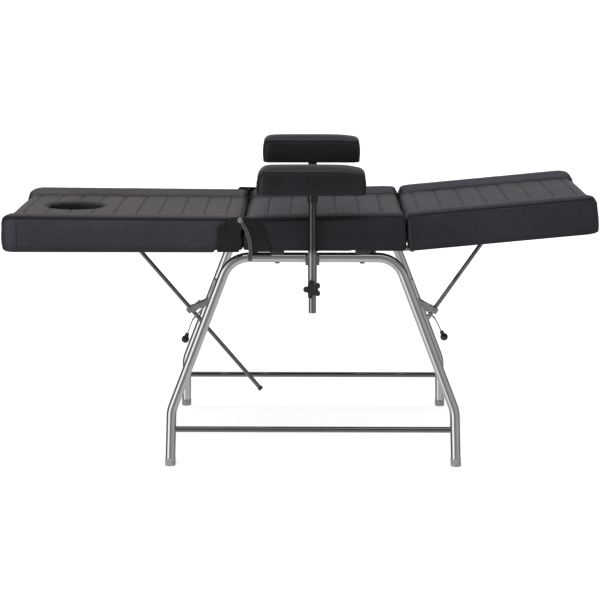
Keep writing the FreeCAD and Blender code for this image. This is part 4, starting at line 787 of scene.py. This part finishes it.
def mixed(tree, share, first, second):
    """Two colours mixed by a share."""
    item = tree.nodes.new("ShaderNodeMix")
    item.data_type = "RGBA"
    tree.links.new(share, item.inputs["Factor"])
    colours = [socket for socket in item.inputs if socket.type == "RGBA"]
    for socket, value in zip(colours, (first, second)):
        if isinstance(value, tuple):
            socket.default_value = (*value, 1.0)
        else:
            tree.links.new(value, socket)
    return [socket for socket in item.outputs if socket.type == "RGBA"][0]


def group_sockets(group, inputs, outputs):
    for name, kind, value in inputs:
        socket = group.interface.new_socket(name, in_out="INPUT", socket_type=kind)
        if value is not None:
            socket.default_value = value
    for name, kind in outputs:
        group.interface.new_socket(name, in_out="OUTPUT", socket_type=kind)
    return group.nodes.new("NodeGroupInput"), group.nodes.new("NodeGroupOutput")


def cloud_group():
    """Soft patches: two noises of different size, as one mask."""
    group = bpy.data.node_groups.new("soft_patches", "ShaderNodeTree")
    entry, leave = group_sockets(group, [("Vector", "NodeSocketVector", None), ("Size", "NodeSocketFloat", 8.0)],
                                 [("Mask", "NodeSocketFloat")])
    broad = add_node(group, "TexNoise", entry.outputs["Vector"], Detail=3.0, Roughness=0.55)
    fine = add_node(group, "TexNoise", entry.outputs["Vector"], Detail=4.0, Roughness=0.6)
    group.links.new(entry.outputs["Size"], broad.inputs["Scale"])
    group.links.new(maths(group, "MULTIPLY", entry.outputs["Size"], 5.3), fine.inputs["Scale"])
    total = maths(group, "ADD", maths(group, "MULTIPLY", broad.outputs[0], 0.7),
                  maths(group, "MULTIPLY", fine.outputs[0], 0.3))
    group.links.new(ramp(group, total, 0.0, 1.0, 0.35, 0.65), leave.inputs["Mask"])
    return group


def edge_group():
    """Edge mask for worn edges and painted edge highlights: where a rounded normal leaves the true one, broken up by
    noise.
    """
    group = bpy.data.node_groups.new("edge_wear_and_highlight", "ShaderNodeTree")
    entry, leave = group_sockets(group, [("Vector", "NodeSocketVector", None), ("Radius", "NodeSocketFloat", 0.0008)],
                                 [("Mask", "NodeSocketFloat"), ("Normal", "NodeSocketVector")])
    bevel = add_node(group, "Bevel", entry.outputs["Radius"], samples=4)
    product = add_node(group, "VectorMath", bevel.outputs[0], operation="DOT_PRODUCT")
    group.links.new(add_node(group, "NewGeometry").outputs["Normal"], product.inputs[1])
    edge = ramp(group, product.outputs["Value"], 1.0, 0.0, 0.80, 0.99)
    broken = ramp(group, noise(group, entry.outputs["Vector"], 180.0, 4.0, 0.7), 0.0, 1.0, 0.45, 0.62)
    group.links.new(maths(group, "MULTIPLY", edge, broken), leave.inputs["Mask"])
    group.links.new(bevel.outputs[0], leave.inputs["Normal"])
    return group


def grain_group():
    """Pebbled hide: closed cells with soft ridges between them and a finer noise over both."""
    group = bpy.data.node_groups.new("pebbled_grain", "ShaderNodeTree")
    entry, leave = group_sockets(group, [("Vector", "NodeSocketVector", None), ("Size", "NodeSocketFloat", 900.0)],
                                 [("Height", "NodeSocketFloat")])
    warp = add_node(group, "TexNoise", entry.outputs["Vector"], Scale=260.0, Detail=2.0)
    shift = add_node(group, "VectorMath", warp.outputs["Color"], operation="SCALE", Scale=0.0011)
    moved = add_node(group, "VectorMath", entry.outputs["Vector"], operation="ADD")
    group.links.new(shift.outputs[0], moved.inputs[1])
    cells = add_node(group, "TexVoronoi", moved.outputs[0], feature="DISTANCE_TO_EDGE")
    group.links.new(entry.outputs["Size"], cells.inputs["Scale"])
    fine = add_node(group, "TexNoise", entry.outputs["Vector"], Detail=3.0)
    group.links.new(maths(group, "MULTIPLY", entry.outputs["Size"], 2.7), fine.inputs["Scale"])
    cell = ramp(group, cells.outputs["Distance"], 0.0, 1.0, 0.0, 0.28)
    total = maths(group, "ADD", maths(group, "MULTIPLY", cell, 0.75), maths(group, "MULTIPLY", fine.outputs[0], 0.25))
    group.links.new(total, leave.inputs["Height"])
    return group


PATCHES, EDGE_WEAR_AND_HIGHLIGHT, GRAIN = cloud_group(), edge_group(), grain_group()


def use_group(tree, group, vector, **values):
    item = tree.nodes.new("ShaderNodeGroup")
    item.node_tree = group
    tree.links.new(vector, item.inputs["Vector"])
    for name, value in values.items():
        item.inputs[name].default_value = value
    return item


def bump(tree, height, distance, normal=None, strength=1.0):
    item = tree.nodes.new("ShaderNodeBump")
    item.inputs["Strength"].default_value = strength
    item.inputs["Distance"].default_value = distance
    tree.links.new(height, item.inputs["Height"])
    if normal is not None:
        tree.links.new(normal, item.inputs["Normal"])
    return item.outputs[0]


def vinyl(name):
    """Upholstery vinyl by 'tone': painted shade near black along the rims, darker blue-black sides, painted light on a
    warm grey-brown top; pebbled grain, a slow sheen, worn shine and the seams pressed in along 'seam'."""
    material, tree, shader, spot = new_finish(name)
    patches = use_group(tree, PATCHES, spot, Size=5.0).outputs["Mask"]
    grain = use_group(tree, GRAIN, spot, Size=820.0).outputs["Height"]
    tone = add_node(tree, "Attribute", attribute_name="tone").outputs["Fac"]
    seam = add_node(tree, "Attribute", attribute_name="seam").outputs["Fac"]
    # 'tone' carries painted light and shade: black for the painted rim shade, blue-black for the sides, grey-brown for
    # the painted light on top
    black = mixed(tree, patches, (0.0048, 0.0047, 0.0064), (0.0085, 0.0083, 0.0110))
    side = mixed(tree, patches, (0.0290, 0.0277, 0.0390), (0.0410, 0.0393, 0.0540))
    brown = mixed(tree, patches, (0.0660, 0.0576, 0.0621), (0.0912, 0.0802, 0.0849))
    colour = mixed(tree, ramp(tree, tone, 0.0, 1.0, 0.0, 0.5), black, side)
    colour = mixed(tree, ramp(tree, tone, 0.0, 1.0, 0.5, 1.0), colour, brown)
    colour = mixed(tree, ramp(tree, grain, 0.0, 1.0, 0.15, 0.6), (0.0035, 0.0035, 0.0045), colour)
    away = ramp(tree, seam, 0.0, 1.0, 0.0002, 0.0022)
    colour = mixed(tree, away, (0.0022, 0.0022, 0.0028), colour)
    normal = bump(tree, noise(tree, spot, 30.0, 5.0, 0.6, 0.8), 0.0024, strength=0.6)
    normal = bump(tree, ramp(tree, seam, 0.0, 1.0, 0.0, 0.0032), 0.0016, normal)
    rough = maths(tree, "ADD", ramp(tree, patches, 0.25, 0.36), ramp(tree, grain, 0.05, -0.03))
    rough = maths(tree, "ADD", rough, ramp(tree, tone, 0.0, 0.14))
    rough = maths(tree, "ADD", rough, ramp(tree, away, 0.2, 0.0))
    feed(tree, shader, Base_Color=colour, Roughness=rough, Normal=bump(tree, grain, 0.00016, normal, 0.8), IOR=1.45,
         Specular_IOR_Level=0.36)
    return material


def chrome(name, tone, edge=0.0006, upper=None, painted_edge_highlight=0.0):
    """Bright chrome on tube: faint cloudiness, specks and fine polishing lines. The upper tone, for the part above
    the rails, is painted shade; the edge-highlight share is how bright a painted highlight makes the edges."""
    material, tree, shader, spot = new_finish(name)
    smear = use_group(tree, PATCHES, spot, Size=14.0).outputs["Mask"]
    pits = add_node(tree, "TexVoronoi", spot, Scale=420.0)
    speck = ramp(tree, pits.outputs["Distance"], 1.0, 0.0, 0.0, 0.09)
    colour = mixed(tree, smear, (tone * 0.93, tone * 0.935, tone * 0.95), (tone, tone, tone * 1.01))
    # painted shade: above the rails the chrome darkens to the upper tone
    if upper is not None:
        parts = add_node(tree, "SeparateXYZ", spot)
        colour = mixed(tree, ramp(tree, parts.outputs["Z"], 0.0, 1.0, 0.688, 0.712), colour,
                       (upper, upper, upper * 1.04))
    colour = mixed(tree, maths(tree, "MULTIPLY", speck, ramp(tree, smear, 0.0, 0.5, 0.3, 1.0)), colour,
                   (0.20, 0.19, 0.18))
    edges = use_group(tree, EDGE_WEAR_AND_HIGHLIGHT, spot, Radius=edge)
    # painted highlight: the edges lighten towards white
    if painted_edge_highlight:
        colour = mixed(tree, maths(tree, "MULTIPLY", edges.outputs["Mask"], painted_edge_highlight), colour, (0.9, 0.9, 0.9))
    rough = maths(tree, "ADD", ramp(tree, smear, 0.05, 0.10), maths(tree, "MULTIPLY", speck, 0.2))
    lines = bump(tree, noise(tree, spot, 700.0, 3.0), 0.00002, edges.outputs["Normal"], 0.4)
    feed(tree, shader, Base_Color=colour, Metallic=1.0, Roughness=rough, Normal=lines)
    return material


def zinc(name):
    """Zinc-plated steel: a brushed, slightly mottled grey."""
    material, tree, shader, spot = new_finish(name)
    brush = noise(tree, stretched(tree, spot, (60.0, 1400.0, 900.0)), 1.0, 4.0)
    smear = use_group(tree, PATCHES, spot, Size=40.0).outputs["Mask"]
    edges = use_group(tree, EDGE_WEAR_AND_HIGHLIGHT, spot, Radius=0.0005)
    feed(tree, shader, Base_Color=mixed(tree, smear, (0.40, 0.40, 0.405), (0.56, 0.56, 0.57)), Metallic=1.0,
         Roughness=ramp(tree, brush, 0.2, 0.38, 0.3, 0.7),
         Normal=bump(tree, brush, 0.00003, edges.outputs["Normal"], 0.6))
    return material


def black_paint(name):
    """Black powder coat on steel: orange-peel skin, rounded edges, bare metal where its edges are worn."""
    material, tree, shader, spot = new_finish(name)
    edges = use_group(tree, EDGE_WEAR_AND_HIGHLIGHT, spot, Radius=0.0010)
    smear = use_group(tree, PATCHES, spot, Size=24.0).outputs["Mask"]
    coat = mixed(tree, smear, (0.0034, 0.0034, 0.0044), (0.0062, 0.0062, 0.0076))
    bare = maths(tree, "MULTIPLY", edges.outputs["Mask"], 0.55)
    peel = bump(tree, noise(tree, spot, 520.0, 2.0), 0.00006, edges.outputs["Normal"], 0.6)
    feed(tree, shader, Base_Color=mixed(tree, bare, coat, (0.30, 0.30, 0.31)),
         Metallic=maths(tree, "MULTIPLY", bare, 0.9), Roughness=ramp(tree, smear, 0.16, 0.28), Normal=peel)
    return material


def plywood(name):
    """Plywood with its faces that look down painted near black with matted fibres, painted shade under the boards;
    veneers that change tone through the thickness at the edges, long grain elsewhere."""
    material, tree, shader, spot = new_finish(name)
    veneer = 0.0028
    grain = noise(tree, stretched(tree, spot, (5.0, 95.0, 95.0)), 1.0, 6.0, 0.6, 0.4)
    fibres = noise(tree, spot, 900.0, 4.0, 0.7, 1.2)
    height = add_node(tree, "SeparateXYZ", spot).outputs["Z"]
    layer = maths(tree, "SINE", maths(tree, "MULTIPLY", height, 2 * math.pi / veneer))
    face = mixed(tree, ramp(tree, grain, 0.0, 1.0, 0.3, 0.7), (0.20, 0.125, 0.065), (0.30, 0.20, 0.115))
    edge = mixed(tree, ramp(tree, layer, 0.0, 1.0, -0.6, 0.6), (0.060, 0.036, 0.020), (0.12, 0.078, 0.045))
    # the near-black fibre colour of the downward faces is painted shade
    cloth = mixed(tree, ramp(tree, fibres, 0.0, 1.0, 0.3, 0.7), (0.006, 0.006, 0.007), (0.020, 0.020, 0.021))
    # the face's own direction, which stays when the section swings
    own = add_node(tree, "VectorTransform", add_node(tree, "NewGeometry").outputs["True Normal"],
                   vector_type="NORMAL", convert_from="WORLD", convert_to="OBJECT")
    facing = add_node(tree, "SeparateXYZ", own.outputs[0]).outputs["Z"]
    flat = ramp(tree, maths(tree, "ABSOLUTE", facing), 0.0, 1.0, 0.5, 0.8)
    below = ramp(tree, facing, 1.0, 0.0, -0.8, -0.5)
    feed(tree, shader, Base_Color=mixed(tree, below, mixed(tree, flat, edge, face), cloth),
         Roughness=maths(tree, "ADD", ramp(tree, grain, 0.55, 0.70), ramp(tree, below, 0.0, 0.2)),
         Normal=bump(tree, fibres, 0.0002, strength=0.5))
    return material


def rubber(name, dark, light, roughness):
    """Moulded rubber or soft plastic: matt, dusty in its hollows."""
    material, tree, shader, spot = new_finish(name)
    dust = use_group(tree, PATCHES, spot, Size=60.0).outputs["Mask"]
    edges = use_group(tree, EDGE_WEAR_AND_HIGHLIGHT, spot, Radius=0.0008)
    feed(tree, shader, Base_Color=mixed(tree, dust, dark, light),
         Roughness=ramp(tree, dust, roughness - 0.06, roughness + 0.08),
         Normal=bump(tree, noise(tree, spot, 1500.0, 2.0), 0.00005, edges.outputs["Normal"], 0.6))
    return material


def thread(name):
    """Twisted thread, a touch greyer than the vinyl."""
    material, tree, shader, spot = new_finish(name)
    ply = noise(tree, spot, 2600.0, 2.0)
    feed(tree, shader,
         Base_Color=mixed(tree, ramp(tree, ply, 0.0, 1.0, 0.35, 0.65), (0.004, 0.004, 0.0045), (0.014, 0.014, 0.015)),
         Roughness=ramp(tree, ply, 0.45, 0.65), Normal=bump(tree, ply, 0.00012))
    return material


VINYL = vinyl("black_vinyl_cover")
THREAD = thread("black_thread")
CHROME = chrome("chromed_tube", 0.62)
PAINT = black_paint("black_powder_coat")
FINISHES = {"chrome": CHROME, "bright_steel": zinc("zinc_plate"), "black_steel": PAINT,
            "plywood": plywood("plywood_with_painted_shade_below"),
            "black_rubber": rubber("black_rubber_moulding", (0.010, 0.010, 0.010), (0.030, 0.029, 0.028), 0.62),
            "black_plastic": rubber("black_knob_plastic", (0.007, 0.007, 0.008), (0.013, 0.013, 0.014), 0.30),
            "black_vinyl": VINYL}
OWN_FINISHES = [
    (rubber("grey_foot_plastic", (0.16, 0.16, 0.165), (0.26, 0.26, 0.26), 0.42), ["foot_tips"]),
    (chrome("chromed_rod", 0.24), ["near_stretcher", "far_stretcher", "back_rod", "leg_rod"]),
    # the posts take a darker chrome, darker still above the rails: painted shade standing for the dark covers they
    # reflect
    (chrome("chromed_post", 0.30, upper=0.085), ["near_post", "far_post", "near_post_socket", "far_post_socket",
                                                 "near_post_cap", "far_post_cap"]),
    # the strap takes a darker chrome with a painted highlight along its edges
    (chrome("chromed_strip", 0.26, 0.0026, painted_edge_highlight=1.0), ["hinge_straps"]),
    (CHROME, ["back_pivot_bolts"]),
    # the pad flanges take the black coat as painted shade under the pads
    (PAINT, ["near_pad_flange", "far_pad_flange"])]
own_finish = {label: finish for finish, labels in OWN_FINISHES for label in labels}
for label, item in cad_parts.items():
    for place in item.material_slots:
        place.material = own_finish.get(label, FINISHES[place.material.name.split(".")[0]])

# Covers


def along_bed(x):
    """A place along the frame, seen from the stand's middle."""
    return x - STAND_X


HALF_COVER = HALF_BED - 2.0
BACK_PLAN = (along_bed(-947.0), along_bed(-184.4), HALF_COVER, 46.0, 9.0)
SEAT_PLAN = (along_bed(-174.4), along_bed(333.6), HALF_COVER, 9.0, 9.0)
LEG_PLAN = (-9.5, 590.5, HALF_COVER, 9.0, 46.0)
# The lip's free places: hinge plates at the sides, spacers under the seat, the leg section's hinges
HEAD_PLATES = (along_bed(-262), along_bed(-180), 262, 310)
SEAT_PLATES = (along_bed(-205), along_bed(-88), 258, 310)
SEAT_SPACERS = (along_bed(170), along_bed(228), 258, 310)
SEAT_HINGES = (along_bed(255), along_bed(340), 165, 235)
LEG_HINGES = (-12, 80, 165, 235)

# Each section's painted light levels for side, rim and top: the back's lighter side and top are painted light from the
# left, the seat's darker side is the near pad's painted shadow, and the near-black rims are painted shade
SECTIONS = [
    section_of("back", "back", BED_PLACE, BACK_PLAN, crests=(113.0, 106.5), panel_drop=(4.0, 0.0),
               end_drop=(14.0, 4.0), hole=HOLE, lip=(8.0, 28.0), keep_clear=[HEAD_PLATES], bulge=(3.2, 5.9),
               reach=(3.7, 4.3), tones=(0.50, 0.012, 1.0)),
    section_of("seat", "stand", BED_PLACE, SEAT_PLAN, crests=(107.0, 120.0), panel_drop=(0.0, 0.0),
               end_drop=(4.0, 4.0), lip=(2.2, 26.0), keep_clear=[SEAT_PLATES, SEAT_SPACERS, SEAT_HINGES],
               bulge=(6.2, 4.6), reach=(4.9, 4.8), tones=(0.175, 0.012, 0.715)),
    section_of("leg", "leg", LEG_PLACE, LEG_PLAN, crests=(122.0, 122.0), panel_drop=(0.0, 3.0),
               end_drop=(4.0, 12.5), lip=(1.6, 28.0), keep_clear=[LEG_HINGES], bulge=(4.6, 3.4), reach=(4.8, 3.8),
               tones=(0.285, 0.10, 0.68)),
]


def add_cover(name, mesh, body, place, cad_name, stitching, thread_mesh):
    """A cover in place of its solid, and its rows of stitches as a piece of their own."""
    cover = add_piece(name, mesh, body, VINYL, place)
    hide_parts(cad_name)
    rows = make_mesh(stitching, thread_mesh[0], [thread_mesh[1]])
    add_piece(stitching, rows, body, THREAD, place)


for section in SECTIONS:
    mesh = section_cover(section)
    add_cover(section.name + "_section_cover", mesh, section.body, section.place, section.name + "_cushion",
              section.name + "_section_stitching", section_thread(mesh, section))

PAD_PLAN = (-169.0, 169.0, PAD_HALF, 26.0, 26.0)
PAD_X, PAD_OUT, PAD_UNDERSIDE = STAND_X - 7.0, 330.0, 890.0
for word, side, rise, crest, drops in (("near", -1, 0.0, 82.5, (22, 13)), ("far", 1, 9.0, 87.0, (9, 8))):
    mesh = pad_cover(PAD_PLAN, pad_top(crest, drops))
    add_cover(word + "_armrest_cover", mesh, word + "_armrest",
              Matrix.Translation((PAD_X, side * PAD_OUT, PAD_UNDERSIDE + rise)), word + "_pad",
              word + "_armrest_stitching", pad_thread(mesh, PAD_PLAN))

# Stage, light and camera

floor_mesh = make_mesh("floor", [[-60000, -60000, -0.2], [60000, -60000, -0.2], [60000, 60000, -0.2],
                                 [-60000, 60000, -0.2]], [[[0, 1, 2, 3]]], smooth=False)
floor = bpy.data.objects.new("floor", floor_mesh)
bpy.context.scene.collection.objects.link(floor)
floor_finish, tree, shader, _ = new_finish("pale_floor")
feed(tree, shader, Base_Color=(0.33, 0.33, 0.33, 1), Emission_Color=(0.76, 0.76, 0.76, 1), Emission_Strength=1.0,
     Roughness=0.9, Specular_IOR_Level=0.1)
floor_mesh.materials.append(floor_finish)
floor.visible_glossy = False


def sun(name, strength, angle, turn):
    """A broad soft light, left out of reflections, which see the room's bands."""
    light = bpy.data.lights.new(name, "SUN")
    light.energy, light.angle = strength, math.radians(angle)
    lamp = bpy.data.objects.new(name, light)
    lamp.rotation_euler = [math.radians(part) for part in turn]
    lamp.visible_glossy = False
    bpy.context.scene.collection.objects.link(lamp)


sun("overhead", 2.5, 80, (8, 0, 0))
sun("front_left", 1.6, 50, (45, 0, -40))

world = bpy.data.worlds.new("studio")
bpy.context.scene.world = world
world.use_nodes = True
sky = world.node_tree
sky.nodes.clear()
background = sky.nodes.new("ShaderNodeBackground")
result = sky.nodes.new("ShaderNodeOutputWorld")
sky.links.new(background.outputs[0], result.inputs[0])
direction = sky.nodes.new("ShaderNodeTexCoord").outputs["Generated"]
parts = sky.nodes.new("ShaderNodeSeparateXYZ")
sky.links.new(direction, parts.inputs[0])


def bands(source, levels):
    """Light levels between stops along a value."""
    item = sky.nodes.new("ShaderNodeValToRGB")
    while len(item.color_ramp.elements) < len(levels):
        item.color_ramp.elements.new(0.5)
    for stop, (place, level) in zip(item.color_ramp.elements, levels):
        stop.position, stop.color = place, (level, level, level, 1)
    sky.links.new(source, item.inputs[0])
    return item.outputs[0]


# Round the room, from behind the chair by its left, front and right: soft boxes with dark flags between them
round_room = ramp(sky, maths(sky, "ARCTAN2", parts.outputs["X"], maths(sky, "MULTIPLY", parts.outputs["Y"], -1.0)),
                  0.0, 1.0, -math.pi, math.pi)
walls = bands(round_room, [(0.0, 0.42), (0.07, 0.42), (0.11, 0.18), (0.27, 0.10), (0.31, 1.5), (0.40, 1.5),
                           (0.425, 0.38), (0.47, 0.25), (0.51, 0.28), (0.57, 0.46), (0.70, 0.52), (0.76, 0.24),
                           (0.88, 0.20), (0.93, 0.42), (1.0, 0.42)])
up_down = ramp(sky, parts.outputs["Z"], 0.0, 1.0, -1.0, 1.0)
ceiling = bands(up_down, [(0.0, 0.70), (0.24, 0.62), (0.36, 0.0), (0.66, 0.0), (0.74, 0.08), (0.84, 0.10),
                          (0.93, 0.85), (1.0, 0.85)])
share = bands(up_down, [(0.0, 0.0), (0.22, 0.0), (0.36, 1.0), (0.66, 1.0), (0.74, 0.35), (0.84, 0.25), (0.93, 0.0),
                        (1.0, 0.0)])
total = maths(sky, "ADD", maths(sky, "MULTIPLY", walls, share), ceiling)
seen = sky.nodes.new("ShaderNodeLightPath").outputs["Is Camera Ray"]
sky.links.new(maths(sky, "MAXIMUM", total, seen), background.inputs["Color"])
background.inputs["Strength"].default_value = 1.0

camera_data = bpy.data.cameras.new("camera")
camera_data.sensor_width, camera_data.lens = 36.0, 94.98
camera_data.clip_end = 200.0
camera = bpy.data.objects.new("camera", camera_data)
bpy.context.scene.collection.objects.link(camera)
right = Vector((0.99996749, 0.00806358, 0))
ahead = Vector((-0.00785742, 0.974401, -0.22467968))
above = Vector((-0.00181172, 0.22467237, 0.97443268))
turned = Matrix((right, above, -ahead)).transposed().to_4x4()
camera.matrix_world = Matrix.Translation((0.04088, -5.2, 1.6682)) @ turned
bpy.context.scene.camera = camera
bpy.context.scene.view_settings.view_transform = "Standard"
